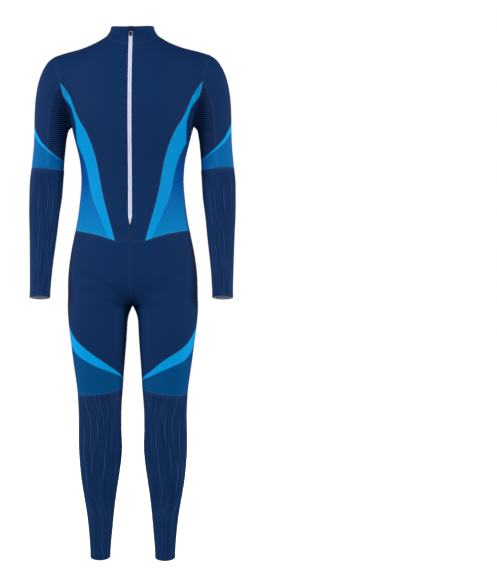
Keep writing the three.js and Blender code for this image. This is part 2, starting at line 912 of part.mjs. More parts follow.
// A row round the hip and thigh, whose ends lie on the centre seam.
function hipRow(v, start, end) {
  const side = mix(WAIST.side, centre.crotch.z, v);
  const x = leg.x(side);
  const y = mix(0, leg.y(side), v);
  const from = Math.atan2(start.y - y, start.x - x);
  const to = Math.atan2(end.y - y, end.x - x);
  const sweepFrom = from > 0 ? from - 2 * Math.PI : from;
  const row = evenly(
    samples(2 * DENSE, (t) => {
      if (t === 0) return start.clone();
      if (t === 1) return end.clone();
      const turn = mix(sweepFrom, to < 0 ? to + 2 * Math.PI : to, t);
      const edgeZ = t < 0.5 ? start.z : end.z;
      const z = mix(edgeZ, side, (1 - Math.cos(2 * Math.PI * t)) / 2);
      return exitPoint(vec(x, y, z), vec(Math.cos(turn), Math.sin(turn), 0));
    }),
    CUTS.legRound,
  );
  return row;
}

const kneeHeight = (turn) =>
  KNEE.middle - KNEE.outerDrop * Math.cos(turn) + KNEE.frontDrop * Math.sin(turn);
const kneeRow = () =>
  roundLimb(leg, "trunk", KNEE.middle, kneeHeight, -Math.PI, Math.PI, CUTS.legRound);

function upperLegRows() {
  const hip = centre.front.map((start, k) => {
    if (k === 0) return joined(waist.front, waist.side, waist.back);
    return hipRow(k / CUTS.centreSeam, start, centre.back[k]);
  });
  const crotch = centre.crotch;
  const inner = (v) => mix(crotch.z, kneeHeight(Math.PI), v);
  const thigh = samples(CUTS.thigh, (v) => {
    const z = mix(crotch.z, KNEE.middle, v);
    const height = (turn) => z + (kneeHeight(turn) - KNEE.middle) * v;
    const row = roundLimb(leg, "trunk", z, height, -Math.PI, Math.PI, CUTS.legRound);
    const inseam = exitPoint(vec(leg.x(z), mix(crotch.y, leg.y(z), v), inner(v)), vec(-1, 0, 0));
    row[0] = inseam.clone();
    row[row.length - 1] = inseam.clone();
    return row;
  }).slice(1);
  return [...hip, ...thigh];
}

function lowerLegRows() {
  return samples(CUTS.shin, (v) => {
    if (v === 0) return kneeRow();
    const z = mix(KNEE.middle, HEM.side, v);
    const height = (turn) => {
      const forward = -Math.sin(turn);
      const drop = forward > 0 ? HEM.frontDrop : HEM.backDrop;
      const hem = -drop * forward * forward;
      return z + mix(kneeHeight(turn) - KNEE.middle, hem, v);
    };
    return roundLimb(leg, "trunk", z, height, -Math.PI, Math.PI, CUTS.shinRound);
  });
}

// Zip

function zipTapeRows() {
  const flat = samples(CUTS.zip, (t) => mix(ZIP_BOTTOM + ZIP_TAPER, COLLAR_SEAM.front, t));
  const neckBend = samples(CUTS.zipAtNeck, (t) => mix(COLLAR_SEAM.front, ZIP_TOP, t));
  return [ZIP_BOTTOM, ...joined(flat, neckBend)].map((z, row) => {
    const halfWidth = row === 0 ? ZIP_POINT : ZIP_HALF_WIDTH;
    return [frontPoint(0, z), frontPoint(halfWidth, z)];
  });
}

const GARAGE = { halfWidth: 8, bottom: 0.5, rows: 3, columns: 4, wall: 1.2 };
function garageRows() {
  return samples(GARAGE.rows, (t) => {
    const z = mix(GARAGE.bottom, COLLAR_TOP.front, t);
    return samples(GARAGE.columns, (u) =>
      frontPoint(mix(-GARAGE.halfWidth, GARAGE.halfWidth, u), z),
    );
  });
}

// Slider and pull tab. Each is built flat, with Y up along the zip and Z away from the cloth,
// and then laid on the zip just under its garage. The pull tab hangs.

const SLIDER = { z: -6.5, halfWidth: 4.2, length: 10, from: 0.9, to: 3.1, corner: 1.4 };
const LUG = { inner: 2.9, outer: 4.1, bottom: 0.6, top: 4.2, height: 6.1 };
const PULL = { halfWidth: 2.55, length: 13, thickness: 1.5, corner: 0.8, barrel: 1.35 };
const HINGE = { along: 2.4, above: 4.8 };

const wasm = await Module();
wasm.setup();

function asManifold(geometry) {
  const bare = geometry.clone();
  bare.deleteAttribute("normal");
  bare.deleteAttribute("uv");
  const merged = mergeVertices(bare, 1e-4);
  return new wasm.Manifold(
    new wasm.Mesh({
      numProp: 3,
      vertProperties: new Float32Array(merged.getAttribute("position").array),
      triVerts: new Uint32Array(merged.getIndex().array),
    }),
  );
}

function union(geometries) {
  const whole = wasm.Manifold.union(geometries.map(asManifold)).getMesh();
  const geometry = new THREE.BufferGeometry();
  const position = new Float32Array(whole.vertProperties);
  geometry.setAttribute("position", new THREE.BufferAttribute(position, 3));
  geometry.setIndex(new THREE.BufferAttribute(new Uint32Array(whole.triVerts), 1));
  geometry.computeVertexNormals();
  return geometry;
}

// A flat plate with rounded corners.
function plate(halfWidth, bottom, top, from, to, corner) {
  const shape = new THREE.Shape();
  shape.moveTo(-halfWidth + corner, bottom);
  shape.lineTo(halfWidth - corner, bottom);
  shape.quadraticCurveTo(halfWidth, bottom, halfWidth, bottom + corner);
  shape.lineTo(halfWidth, top - corner);
  shape.quadraticCurveTo(halfWidth, top, halfWidth - corner, top);
  shape.lineTo(-halfWidth + corner, top);
  shape.quadraticCurveTo(-halfWidth, top, -halfWidth, top - corner);
  shape.lineTo(-halfWidth, bottom + corner);
  shape.quadraticCurveTo(-halfWidth, bottom, -halfWidth + corner, bottom);
  const options = { depth: to - from, bevelEnabled: false, curveSegments: 5 };
  return new THREE.ExtrudeGeometry(shape, options).translate(0, 0, from);
}

function sliderGeometry() {
  const { halfWidth, length, from, to, corner } = SLIDER;
  const lug = (side) => {
    const width = LUG.outer - LUG.inner;
    const tall = LUG.height - from;
    const box = new THREE.BoxGeometry(width, LUG.top - LUG.bottom, tall);
    const middle = (LUG.inner + LUG.outer) / 2;
    return box.translate(side * middle, (LUG.top + LUG.bottom) / 2, from + tall / 2);
  };
  const base = plate(halfWidth, -length / 2, length / 2, from, to, corner);
  return union([base, lug(-1), lug(1)]);
}

function pullGeometry() {
  const { halfWidth, length, thickness, corner, barrel } = PULL;
  const from = HINGE.above - thickness / 2;
  const bottom = HINGE.along - length;
  const tab = plate(halfWidth, bottom, HINGE.along, from, from + thickness, corner);
  const turned = new THREE.CylinderGeometry(barrel, barrel, 2 * halfWidth, 24)
    .rotateZ(Math.PI / 2)
    .translate(0, HINGE.along, HINGE.above);
  return union([tab, turned]);
}

// Lays a flat-built piece on the front of the zip.
function layOnZip(geometry) {
  const step = SLIDER.length / 2;
  const low = frontPoint(0, SLIDER.z - step);
  const high = frontPoint(0, SLIDER.z + step);
  const up = high.clone().sub(low).normalize();
  const across = vec(1, 0, 0);
  const away = across.clone().cross(up);
  const seat = low.add(high).multiplyScalar(0.5);
  const place = new THREE.Matrix4().makeBasis(across, up, away).setPosition(seat);
  return geometry.applyMatrix4(place);
}

// The suit's parts

const suit = new THREE.Group();

function add(name, geometry, material) {
  const mesh = new THREE.Mesh(geometry, material);
  mesh.name = name;
  suit.add(mesh);
}

function mirrorGeometry(geometry) {
  const copy = geometry.clone();
  const position = copy.getAttribute("position");
  for (let i = 0; i < position.count; i++) position.setX(i, -position.getX(i));
  const order = copy.getIndex().array;
  for (let i = 0; i < order.length; i += 3)
    [order[i + 1], order[i + 2]] = [order[i + 2], order[i + 1]];
  copy.computeVertexNormals();
  return copy;
}

function addPair(name, geometry, material) {
  add(`${name}_left`, geometry, material);
  add(`${name}_right`, mirrorGeometry(geometry), material);
}

const cloth = (color, roughness = 0.75) =>
  new THREE.MeshStandardMaterial({ color, roughness, side: THREE.FrontSide });
const NAVY = cloth(0x1b345d);
const MESH = cloth(0x182a50, 0.85);
const BLUE = cloth(0x0068b0);
const RIBBED = cloth(0x1a3560, 0.8);
const TAPE = cloth(0xd5d8ee, 0.6);
const TRIM = cloth(0x101c36, 0.6);

addPair("bodice_front", clothSolid(bodiceFrontRows(), "trunk"), NAVY);
add("bodice_back", clothSolid(bodiceBackRows(), "trunk"), NAVY);
add("back_mesh_panel", clothSolid(backMeshRows(), "trunk"), MESH);
addPair("side_panel", clothSolid(sidePanelRows(), "trunk"), BLUE);
add("collar", clothSolid(collarRows(), "trunk", { wall: COLLAR_WALL }), NAVY);
addPair("upper_sleeve", clothSolid(upperSleeveRows(), "arm"), NAVY);
addPair("underarm_mesh", clothSolid(underarmMeshRows(), "arm"), MESH);
addPair("forearm_sleeve", clothSolid(forearmRows(), "arm"), RIBBED);
addPair("upper_leg", clothSolid(upperLegRows(), "trunk"), NAVY);
addPair("lower_leg", clothSolid(lowerLegRows(), "trunk"), RIBBED);
addPair("zip_tape", clothSolid(zipTapeRows(), "trunk", { lift: ZIP_LIFT }), TAPE);
const garageLift = ZIP_LIFT + 2 * LAID_GAP + GARAGE.wall;
add(
  "zip_garage",
  clothSolid(garageRows(), "trunk", { wall: GARAGE.wall, lift: garageLift, gap: 0 }),
  TRIM,
);
const METAL = new THREE.MeshStandardMaterial({ color: 0x14181f, roughness: 0.45 });
add("zip_slider", layOnZip(sliderGeometry()), METAL);
add("zip_pull", layOnZip(pullGeometry()), METAL);

export default suit;
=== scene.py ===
"""A one-piece ski racing suit, filled out as it is worn, in a plain studio.

Each cloth panel of the model gets a finer shell of its own with folds, a knit and its
printed colours. Lengths in the tables are millimetres, and the scene is in metres.
"""

import math

import bmesh
import bpy
import numpy as np
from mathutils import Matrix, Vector
from mathutils.bvhtree import BVHTree
from mathutils.kdtree import KDTree


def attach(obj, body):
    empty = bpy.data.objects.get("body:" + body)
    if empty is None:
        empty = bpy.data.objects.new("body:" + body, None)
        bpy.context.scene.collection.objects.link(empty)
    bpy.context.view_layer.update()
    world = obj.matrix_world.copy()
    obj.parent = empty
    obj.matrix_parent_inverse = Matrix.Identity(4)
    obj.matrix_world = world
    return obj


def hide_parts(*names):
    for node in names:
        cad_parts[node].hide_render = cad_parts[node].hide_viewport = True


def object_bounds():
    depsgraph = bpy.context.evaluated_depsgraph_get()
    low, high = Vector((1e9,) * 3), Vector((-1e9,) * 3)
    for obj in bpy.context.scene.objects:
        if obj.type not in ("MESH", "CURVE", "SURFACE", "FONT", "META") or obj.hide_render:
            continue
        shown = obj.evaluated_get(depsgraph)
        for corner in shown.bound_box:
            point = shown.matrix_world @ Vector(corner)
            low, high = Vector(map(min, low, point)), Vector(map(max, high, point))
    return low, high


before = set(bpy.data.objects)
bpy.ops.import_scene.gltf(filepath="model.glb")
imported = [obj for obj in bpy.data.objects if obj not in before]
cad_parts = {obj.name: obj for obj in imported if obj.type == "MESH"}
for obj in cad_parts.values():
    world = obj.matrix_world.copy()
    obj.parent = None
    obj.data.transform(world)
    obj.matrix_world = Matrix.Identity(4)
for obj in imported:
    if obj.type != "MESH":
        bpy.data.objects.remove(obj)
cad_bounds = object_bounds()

MM = 0.001
IMAGE_WIDTH = 497
IMAGE_HEIGHT = 572

# Colours, as sRGB hex
NAVY = "0B2853"
NAVY_LIT = "11315D"
MESH_NAVY = "0B2851"
# painted shade in the back mesh's holes
MESH_HOLE_PAINTED_SHADE = "0C2346"
UNDERARM_NAVY = "0B2449"
MESH_DOT = "5F76A6"
SWEEP_BLUE = "0095D9"
SIDE_SWEEP = "008ACA"
SIDE_SWEEP_LOW = "008FD3"
FADE_HIGH = "004A94"
FADE_MID = "0067AC"
FADE_LOW = "0081BC"
SLEEVE_BLUE = "005F9E"
THIGH_BLUE = "00487E"
RIB_SHADE = "061C40"
RIB_NAVY = "10325F"
# painted highlight on the ribs' crests
RIB_PAINTED_HIGHLIGHT = "1F3C69"
RIB_LINE = "34578A"
SEAM_NAVY = "0F1A33"
STITCH_LILAC = "8D93B5"
INSIDE_SHADE = "D9DDF2"
INSIDE_LIT = "E8EBFA"
TAPE_SHADE = "CFD3EA"
TAPE_LIT = "DDE0F4"
COIL_SHADE = "AEB3D0"
COIL_LIT = "B9BEDA"
TRIM_SHADE = "081635"
TRIM_LIT = "0D1F45"
SLIDER_INK = "12161D"
SLIDER_WORN = "1E242E"
FLOOR_WHITE = "C4C4C4"


def linear(hex_colour):
    """An sRGB hex value as linear red, green, blue and alpha."""
    channels = [int(hex_colour[i : i + 2], 16) / 255 for i in (0, 2, 4)]
    curve = [c / 12.92 if c <= 0.04045 else ((c + 0.055) / 1.055) ** 2.4 for c in channels]
    return (*curve, 1.0)


# Camera: level, opposite the suit's middle, turned a little to the wearer's left.
CAMERA_DISTANCE = 5.0
CAMERA_TURN = math.radians(4)
CAMERA_HEIGHT = -0.6824
METRES_PER_PIXEL = 2.72 * MM
SUIT_CENTRE_PIXEL = 132.6
SENSOR = 24.0
CAMERA_REACH = 60


def make_camera():
    data = bpy.data.cameras.new("camera")
    camera = bpy.data.objects.new("camera", data)
    bpy.context.scene.collection.objects.link(camera)
    camera.location = (
        CAMERA_DISTANCE * math.sin(CAMERA_TURN),
        -CAMERA_DISTANCE * math.cos(CAMERA_TURN),
        CAMERA_HEIGHT,
    )
    camera.rotation_euler = (math.radians(90), 0, CAMERA_TURN)
    data.sensor_fit = "VERTICAL"
    data.sensor_height = SENSOR
    data.lens = SENSOR * CAMERA_DISTANCE / (IMAGE_HEIGHT * METRES_PER_PIXEL)
    data.shift_x = (IMAGE_WIDTH / 2 - SUIT_CENTRE_PIXEL) / IMAGE_HEIGHT
    data.clip_end = CAMERA_REACH
    bpy.context.scene.camera = camera


make_camera()


# Tables and curves


def table(names, rows):
    """Rows of numbers as one array for each named column."""
    return {name: np.array([row[i] for row in rows], float) for i, name in enumerate(names)}


def column(rows, key, name, at):
    """A table's column, read at given values of its key column."""
    order = np.argsort(rows[key])
    return np.interp(at, rows[key][order], rows[name][order])


def smooth_column(rows, key, name, at):
    """A table's column, read along a smooth curve through its rows."""
    order = np.argsort(rows[key])
    x, y = rows[key][order], rows[name][order]
    slope = np.gradient(y, x)
    i = np.clip(np.searchsorted(x, at) - 1, 0, len(x) - 2)
    gap = x[i + 1] - x[i]
    t = np.clip((at - x[i]) / gap, 0, 1)
    start = y[i] * (1 + 2 * t) + gap * slope[i] * t
    end = y[i + 1] * (3 - 2 * t) - gap * slope[i + 1] * (1 - t)
    return start * (1 - t) ** 2 + end * t**2


# Middle lines of arm and leg, on the wearer's left
ARM_LINE = table(
    ["z", "x", "y"],
    [
        [-100, 199, 4],
        [-169, 216, 4],
        [-250, 222, 2],
        [-338, 229.5, -3],
        [-447, 236.2, -15],
        [-534, 240.4, -29],
        [-621, 244.1, -45],
        [-730, 246.6, -67],
    ],
)
LEG_LINE = table(
    ["z", "x", "y"],
    [
        [-560, 80, 8],
        [-640, 86, 12],
        [-735, 92.8, 12],
        [-840, 92.9, 3],
        [-960, 88.8, 0],
        [-1080, 89.8, 11],
        [-1166, 89.3, 17],
        [-1297, 88.8, 12],
        [-1430, 88.4, 7],
    ],
)

# Printed sweeps that cross a limb: turn round the limb in degrees, from 0 at its outer side
# to -90 at the front and 90 at the back, and the heights of the sweep's two edges.
SLEEVE_SWEEP = table(
    ["turn", "top", "bottom"],
    [
        [-180, -343, -345],
        [-140, -338, -341],
        [-100, -318, -323],
        [-62, -288, -299],
        [-30, -256, -275],
        [0, -232, -264],
        [46, -228, -257],
        [90, -262, -284],
        [130, -306, -320],
        [142, -323, -325],
        [180, -343, -345],
    ],
)
THIGH_SWEEP = table(
    ["turn", "top", "bottom"],
    [
        [-180, -941, -943],
        [-162, -933, -936],
        [-124, -909, -921],
        [-90, -876, -902],
        [-54, -839, -878],
        [-25, -806, -856],
        [-8, -789, -842],
        [8, -777, -831],
        [22, -781, -831],
        [36, -801, -841],
        [50, -819, -854],
        [88, -857, -888],
        [116, -884, -905],
        [154, -914, -922],
        [180, -941, -943],
    ],
)

# How far the thigh sweep sits above or below that on each leg: it was not laid evenly.
THIGH_SHIFT = table(
    ["turn", "left", "right"],
    [
        [-180, 0, 6],
        [-125, -5, 5],
        [-90, -5, 2],
        [-45, -10, 4],
        [-25, -4, 9],
        [0, 3, 6],
        [70, 0, 0],
        [180, 0, 0],
    ],
)

# Printed sweeps down the side panels: height, and width from the panel's seam.
FRONT_SWEEP = table(
    ["z", "width"],
    [
        [-126, 0],
        [-140, 9],
        [-155, 15],
        [-184, 19],
        [-212, 16],
        [-246, 21],
        [-264, 35],
        [-282, 52],
        [-297, 63],
        [-312, 57],
        [-345, 46],
        [-378, 41],
        [-410, 38],
        [-443, 35],
        [-476, 28],
        [-508, 23],
        [-540, 17],
        [-562, 13],
    ],
)
BACK_SWEEP = table(
    ["z", "width"],
    [
        [-166, 0],
        [-182, 6],
        [-198, 13],
        [-231, 20],
        [-264, 33],
        [-280, 42],
        [-296, 48],
        [-313, 49],
        [-345, 43],
        [-378, 38],
        [-410, 31],
        [-443, 30],
        [-476, 29],
        [-533, 32],
    ],
)

# Folds: a soft groove from one point to another, with its depth and half width.
FOLDS = table(
    ["x1", "y1", "z1", "x2", "y2", "z2", "depth", "width"],
    [
        [148, -92, -214, 187, -62, -122, 2.4, 13],
        [-151, -90, -220, -184, -64, -128, 2.0, 15],
        [138, -100, -180, 165, -82, -110, 1.2, 11],
        [-134, -102, -190, -162, -84, -116, 1.4, 10],
        [150, 80, -214, 184, 62, -120, 2.2, 14],
        [-148, 82, -208, -182, 64, -126, 2.4, 12],
        [128, 92, -170, 168, 76, -96, 1.3, 12],
        [-124, 94, -176, -165, 78, -104, 1.1, 13],
        [196, -44, -300, 246, -48, -318, 1.1, 9],
        [-194, -44, -306, -244, -48, -322, 1.3, 8],
        [190, -42, -352, 252, -46, -372, 1.5, 8],
        [-190, -42, -356, -254, -46, -370, 1.3, 9],
        [206, -52, -398, 258, -48, -410, 1.0, 8],
        [-208, -52, -392, -256, -50, -408, 1.1, 8],
        [150, -66, -640, 30, -92, -716, 2.2, 13],
        [-146, -68, -648, -28, -92, -712, 2.5, 12],
        [120, -90, -680, 26, -80, -738, 1.5, 10],
        [-124, -88, -684, -30, -80, -742, 1.3, 10],
        [30, 108, -726, 128, 100, -742, 2.1, 12],
        [-34, 108, -730, -132, 98, -738, 2.0, 13],
        [20, 96, -560, 74, 98, -540, 1.0, 10],
        [-16, 96, -552, -80, 98, -534, 1.2, 9],
        [52, 66, -962, 124, 62, -978, 1.7, 9],
        [-50, 66, -966, -126, 62, -974, 1.9, 9],
        [50, 66, -1000, 122, 62, -1010, 1.5, 9],
        [-54, 66, -1004, -120, 62, -1014, 1.3, 10],
        [60, -64, -1004, 116, -62, -1012, 0.9, 9],
        [-58, -64, -1010, -118, -62, -1004, 1.0, 8],
        [66, -26, -1352, 108, -24, -1362, 0.9, 7],
        [-68, -26, -1358, -110, -24, -1350, 1.0, 7],
        [68, 42, -1376, 106, 42, -1370, 0.9, 7],
        [-66, 42, -1368, -108, 42, -1378, 0.8, 7],
        [232, -70, -640, 260, -66, -646, 0.8, 6],
        [-234, -70, -646, -262, -66, -640, 0.8, 6],
    ],
)

# Light lines in the ribbed cloth: how far they have wandered inwards in front at a height,
# the limb's girth there, and how much of each line shows in front and behind.
LINE_DRIFT = {
    "lower_leg": table(
        ["z", "inwards", "girth", "front", "back"],
        [
            [-960, 0, 400, 0.55, 0.95],
            [-1000, 9, 385, 0.6, 0.95],
            [-1040, 19, 375, 0.5, 0.9],
            [-1070, 21, 380, 0.45, 0.8],
            [-1110, 19, 390, 0.36, 0.7],
            [-1150, 14, 385, 0.32, 0.6],
            [-1200, 8, 350, 0.26, 0.55],
            [-1235, 8, 320, 0.32, 0.5],
            [-1265, 15, 290, 0.42, 0.5],
            [-1300, 25, 260, 0.45, 0.45],
            [-1330, 27, 240, 0.3, 0.45],
            [-1375, 24, 215, 0.35, 0.45],
            [-1400, 27, 200, 0.45, 0.5],
            [-1430, 33, 195, 0.45, 0.5],
        ],
    ),
    "forearm_sleeve": table(
        ["z", "inwards", "girth", "front", "back"],
        [
            [-360, 0, 300, 0.25, 0.9],
            [-440, 4, 295, 0.35, 0.95],
            [-530, 0, 240, 0.4, 0.9],
            [-620, -6, 190, 0.55, 0.85],
            [-730, -2, 150, 0.6, 0.95],
        ],
    ),
}
LINES_ROUND = {"lower_leg": 44, "forearm_sleeve": 34}
RIBS_ROUND = 72

# Hems: how far the turned cloth reaches up from the edge, how far it stands out, and how
# softly it eases off.
HEM_DEPTH = {"forearm_sleeve": 17, "lower_leg": 19}
HEM_STEP = 0.45
HEM_EASE = 1.5
BAND_HEIGHT = 12.0  # the turned seam below the elbow
BAND_STEP = 0.4
BAND_EASE = 0.8


def limb_middle(points, line):
    """The point on the limb's middle line at each vertex's height, on the vertex's side."""
    side = np.where(points[:, 0] < 0, -1, 1)
    z = points[:, 2]
    x = column(line, "z", "x", z) * side
    return np.stack([x, column(line, "z", "y", z), z], axis=1)


def nearest_on_lines(points, lines):
    """The nearest point to each vertex on a few straight lines inside the suit."""
    best = np.full(len(points), np.inf)
    nearest = np.zeros_like(points)
    for start, end in lines:
        start, end = np.array(start, float), np.array(end, float)
        along = end - start
        share = np.clip((points - start) @ along / (along @ along), 0, 1)
        spot = start + share[:, None] * along
        distance = np.linalg.norm(points - spot, axis=1)
        closer = distance < best
        best[closer] = distance[closer]
        nearest[closer] = spot[closer]
    return nearest


TRUNK_LINES = [
    ((0, 2, -80), (0, 8, -620)),
    ((0, 0, -92), (190, 3, -112)),
    ((0, 0, -92), (-190, 3, -112)),
]
COLLAR_LINES = [((0, -6, -40), (0, -6, 40))]


def inside_points(points, region):
    """A point in the hollow behind each vertex."""
    if region == "arm":
        return limb_middle(points, ARM_LINE)
    if region == "leg":
        return limb_middle(points, LEG_LINE)
    return nearest_on_lines(points, COLLAR_LINES if region == "collar" else TRUNK_LINES)


def outward_of(points, region):
    away = points - inside_points(points, region)
    return away / np.linalg.norm(away, axis=1)[:, None]


def turn_of(points, line):
    """Turn round the limb in degrees: 0 outside, -90 in front, 90 behind, 180 inside."""
    middle = limb_middle(points, line)
    side = np.where(points[:, 0] < 0, -1, 1)
    out = (points[:, 0] - middle[:, 0]) * side
    return np.degrees(np.arctan2(points[:, 1] - middle[:, 1], out))


FOLD_BEND = 0.35  # how far a fold bows up at its middle, as a share of its half width
RIDGE_HEIGHT = 0.45  # the raised cloth beside a fold, as a share of the fold's depth
RIDGE_PLACE = 1.7
RIDGE_WIDTH = 0.8


def fold_depth(points):
    """How far each vertex sinks into the folds near it."""
    total = np.zeros(len(points))
    for i in range(len(FOLDS["depth"])):
        start = np.array([FOLDS[k][i] for k in ("x1", "y1", "z1")])
        end = np.array([FOLDS[k][i] for k in ("x2", "y2", "z2")])
        width = FOLDS["width"][i]
        along = end - start
        share = (points - start) @ along / (along @ along)
        bend = FOLD_BEND * width * np.sin(math.pi * np.clip(share, 0, 1))
        spot = start + np.clip(share, 0, 1)[:, None] * along
        offset = points - spot
        offset[:, 2] -= bend
        distance = np.linalg.norm(offset, axis=1)
        taper = np.clip(np.minimum(share, 1 - share) * 4 + 0.35, 0, 1)
        groove = np.exp(-((distance / width) ** 2))
        beside = (distance - RIDGE_PLACE * width) / (RIDGE_WIDTH * width)
        ridge = RIDGE_HEIGHT * np.exp(-(beside**2))
        total += FOLDS["depth"][i] * taper * (groove - ridge)
    return total


# Mesh helpers


MERGE_REACH = 0.01
QUAD_BEND = math.radians(60)
QUAD_SHAPE = math.radians(75)


def select_only(piece):
    bpy.ops.object.select_all(action="DESELECT")
    piece.select_set(True)
    bpy.context.view_layer.objects.active = piece


def copy_of_node(node, name):
    """A merged copy of one of the model's nodes, in quads where they fit."""
    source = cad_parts[node]
    mesh = source.data.copy()
    mesh.name = name
    piece = bpy.data.objects.new(name, mesh)
    bpy.context.scene.collection.objects.link(piece)
    mesh.materials.clear()
    select_only(piece)
    bpy.ops.object.mode_set(mode="EDIT")
    bpy.ops.mesh.select_all(action="SELECT")
    bpy.ops.mesh.remove_doubles(threshold=MERGE_REACH * MM)
    bpy.ops.mesh.tris_convert_to_quads(face_threshold=QUAD_BEND, shape_threshold=QUAD_SHAPE)
    bpy.ops.object.mode_set(mode="OBJECT")
    return piece


def coordinates(piece):
    flat = np.zeros(len(piece.data.vertices) * 3, np.float32)
    piece.data.vertices.foreach_get("co", flat)
    return flat.reshape(-1, 3).astype(float) / MM


def set_coordinates(piece, points):
    piece.data.vertices.foreach_set("co", (points * MM).astype(np.float32).ravel())
    piece.data.update()


def meets_several(spot, node):
    """Whether a panel's vertex is at a corner where it meets two or more other panels."""
    others = [panel_tree(other) for other in ALL_PANELS if other != node]
    near = [tree for tree in others if tree.find_nearest(spot, CORNER_REACH * MM)[0] is not None]
    return len(near) > 1


def crease_sharp_edges(piece, node, limit):
    """Keeps the panel's cut edges and corners sharp when it is subdivided."""
    work = bmesh.new()
    work.from_mesh(piece.data)
    edge_crease = work.edges.layers.float.new("crease_edge")
    corner_crease = work.verts.layers.float.new("crease_vert")
    for edge in work.edges:
        if edge.calc_face_angle(0) > limit:
            edge[edge_crease] = 1.0
    for corner in work.verts:
        cut = [edge for edge in corner.link_edges if edge[edge_crease] > 0]
        if len(cut) > 2 or (len(cut) == 2 and meets_several(corner.co, node)):
            corner[corner_crease] = 1.0
    work.to_mesh(piece.data)
    work.free()


def apply_modifier(piece, kind, **settings):
    select_only(piece)
    modifier = piece.modifiers.new(kind.lower(), kind)
    for key, value in settings.items():
        setattr(modifier, key, value)
    bpy.ops.object.modifier_apply(modifier=modifier.name)


def add_attribute(piece, name, values):
    layer = piece.data.attributes.new(name, "FLOAT", "POINT")
    layer.data.foreach_set("value", np.asarray(values, np.float32))


def tree_of(nodes):
    """One search tree over several of the model's nodes."""
    vertices, faces = [], []
    for node in nodes:
        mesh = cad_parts[node].data
        start = len(vertices)
        vertices += [v.co.copy() for v in mesh.vertices]
        faces += [[start + i for i in p.vertices] for p in mesh.polygons]
    return BVHTree.FromPolygons(vertices, faces)


PANEL_TREES = {}


def panel_tree(node):
    if node not in PANEL_TREES:
        PANEL_TREES[node] = tree_of([node])
    return PANEL_TREES[node]


def distance_to(piece, nodes, reach):
    """How far each vertex is from other panels, in millimetres, up to a reach."""
    tree = tree_of(nodes)
    far = reach * MM
    result = np.full(len(piece.data.vertices), reach, float)
    for i, vertex in enumerate(piece.data.vertices):
        distance = tree.find_nearest(vertex.co, far)[3]
        if distance is not None:
            result[i] = distance / MM
    return result


# Materials


def add(tree, kind, links=(), **settings):
    """A shader node with its settings, and links as (input, output socket) pairs."""
    node = tree.nodes.new(kind)
    for key, value in settings.items():
        if key.startswith("in_"):
            name = key[3:]
            spot = int(name) if name.isdigit() else name.replace("_", " ")
            node.inputs[spot].default_value = value
        else:
            setattr(node, key, value)
    for spot, source in links:
        tree.links.new(source, node.inputs[spot])
    return node


def new_material(name):
    material = bpy.data.materials.new(name)
    material.use_nodes = True
    tree = material.node_tree
    return material, tree, tree.nodes["Principled BSDF"]


def maths(tree, operation, first, second=None, clamp=False):
    """A Math node; each operand is a number or a socket."""
    node = tree.nodes.new("ShaderNodeMath")
    node.operation = operation
    node.use_clamp = clamp
    for spot, value in enumerate((first, second)):
        if value is None:
            continue
        if isinstance(value, (int, float)):
            node.inputs[spot].default_value = value
        else:
            tree.links.new(value, node.inputs[spot])
    return node.outputs[0]


def attribute(tree, name):
    return add(tree, "ShaderNodeAttribute", attribute_name=name).outputs["Fac"]


def blend_colour(tree, share, first, second):
    """Mixes two colours, each a hex value or a socket."""
    node = tree.nodes.new("ShaderNodeMix")
    node.data_type = "RGBA"
    tree.links.new(share, node.inputs["Factor"])
    for socket, value in ((node.inputs[6], first), (node.inputs[7], second)):
        if isinstance(value, str):
            socket.default_value = linear(value)
        else:
            tree.links.new(value, socket)
    return node.outputs[2]


def object_place(tree):
    """Object coordinates in millimetres."""
    place = add(tree, "ShaderNodeTexCoord").outputs["Object"]
    return add(
        tree,
        "ShaderNodeVectorMath",
        [(0, place)],
        operation="SCALE",
        in_Scale=1 / MM,
    ).outputs[0]


def step_up(tree, value, width):
    """0 below zero and 1 above it, over a soft step of the given width."""
    return add(
        tree,
        "ShaderNodeMapRange",
        [(0, value)],
        in_1=-width / 2,
        in_2=width / 2,
        clamp=True,
    ).outputs[0]


def step_down(tree, value, width):
    """1 below zero and 0 above it, over a soft step of the given width."""
    return maths(tree, "SUBTRACT", 1.0, step_up(tree, value, width))


def noise(tree, place, scale, detail=2.0):
    """Soft noise from 0 to 1; the scale is in grains to each unit of the place."""
    node = add(tree, "ShaderNodeTexNoise", [("Vector", place)], in_Scale=scale, in_Detail=detail)
    return node.outputs["Fac"]


def set_surface(tree, shader, colour, roughness):
    """A surface's colour, from a socket, and its even roughness."""
    tree.links.new(colour, shader.inputs["Base Color"])
    shader.inputs["Roughness"].default_value = roughness


def set_relief(tree, shader, height, strength, depth):
    """A surface's fine relief; the depth is in millimetres."""
    links = [("Height", height)]
    bump = add(tree, "ShaderNodeBump", links, in_Strength=strength, in_Distance=depth * MM)
    tree.links.new(bump.outputs[0], shader.inputs["Normal"])


CLOTH_GRAIN = 0.5  # the dye's fine unevenness, in grains to a millimetre
KNIT_PITCH = 1.1  # drawn coarser than the real 0.4 mm stitch, so that it shows
WAVE_RATE = 20  # the wave texture's own turns, in radians, for each step of its place
YARN_GRAIN = 0.9


def cloth_colour(tree, place, dark=NAVY, light=NAVY_LIT):
    """A dyed cloth's colour, a little uneven from stitch to stitch."""
    return blend_colour(tree, noise(tree, place, CLOTH_GRAIN), dark, light)


def knit_height(tree, place):
    """Fine wales of the stretch knit, as a height."""
    wales = add(
        tree,
        "ShaderNodeTexWave",
        [("Vector", place)],
        wave_type="BANDS",
        bands_direction="X",
        in_Scale=math.pi * 2 / KNIT_PITCH / WAVE_RATE,
        in_Distortion=1.2,
        in_Detail=2.0,
    ).outputs["Fac"]
    grain = noise(tree, place, YARN_GRAIN, 3.0)
    return maths(tree, "ADD", maths(tree, "MULTIPLY", wales, 0.5), grain)


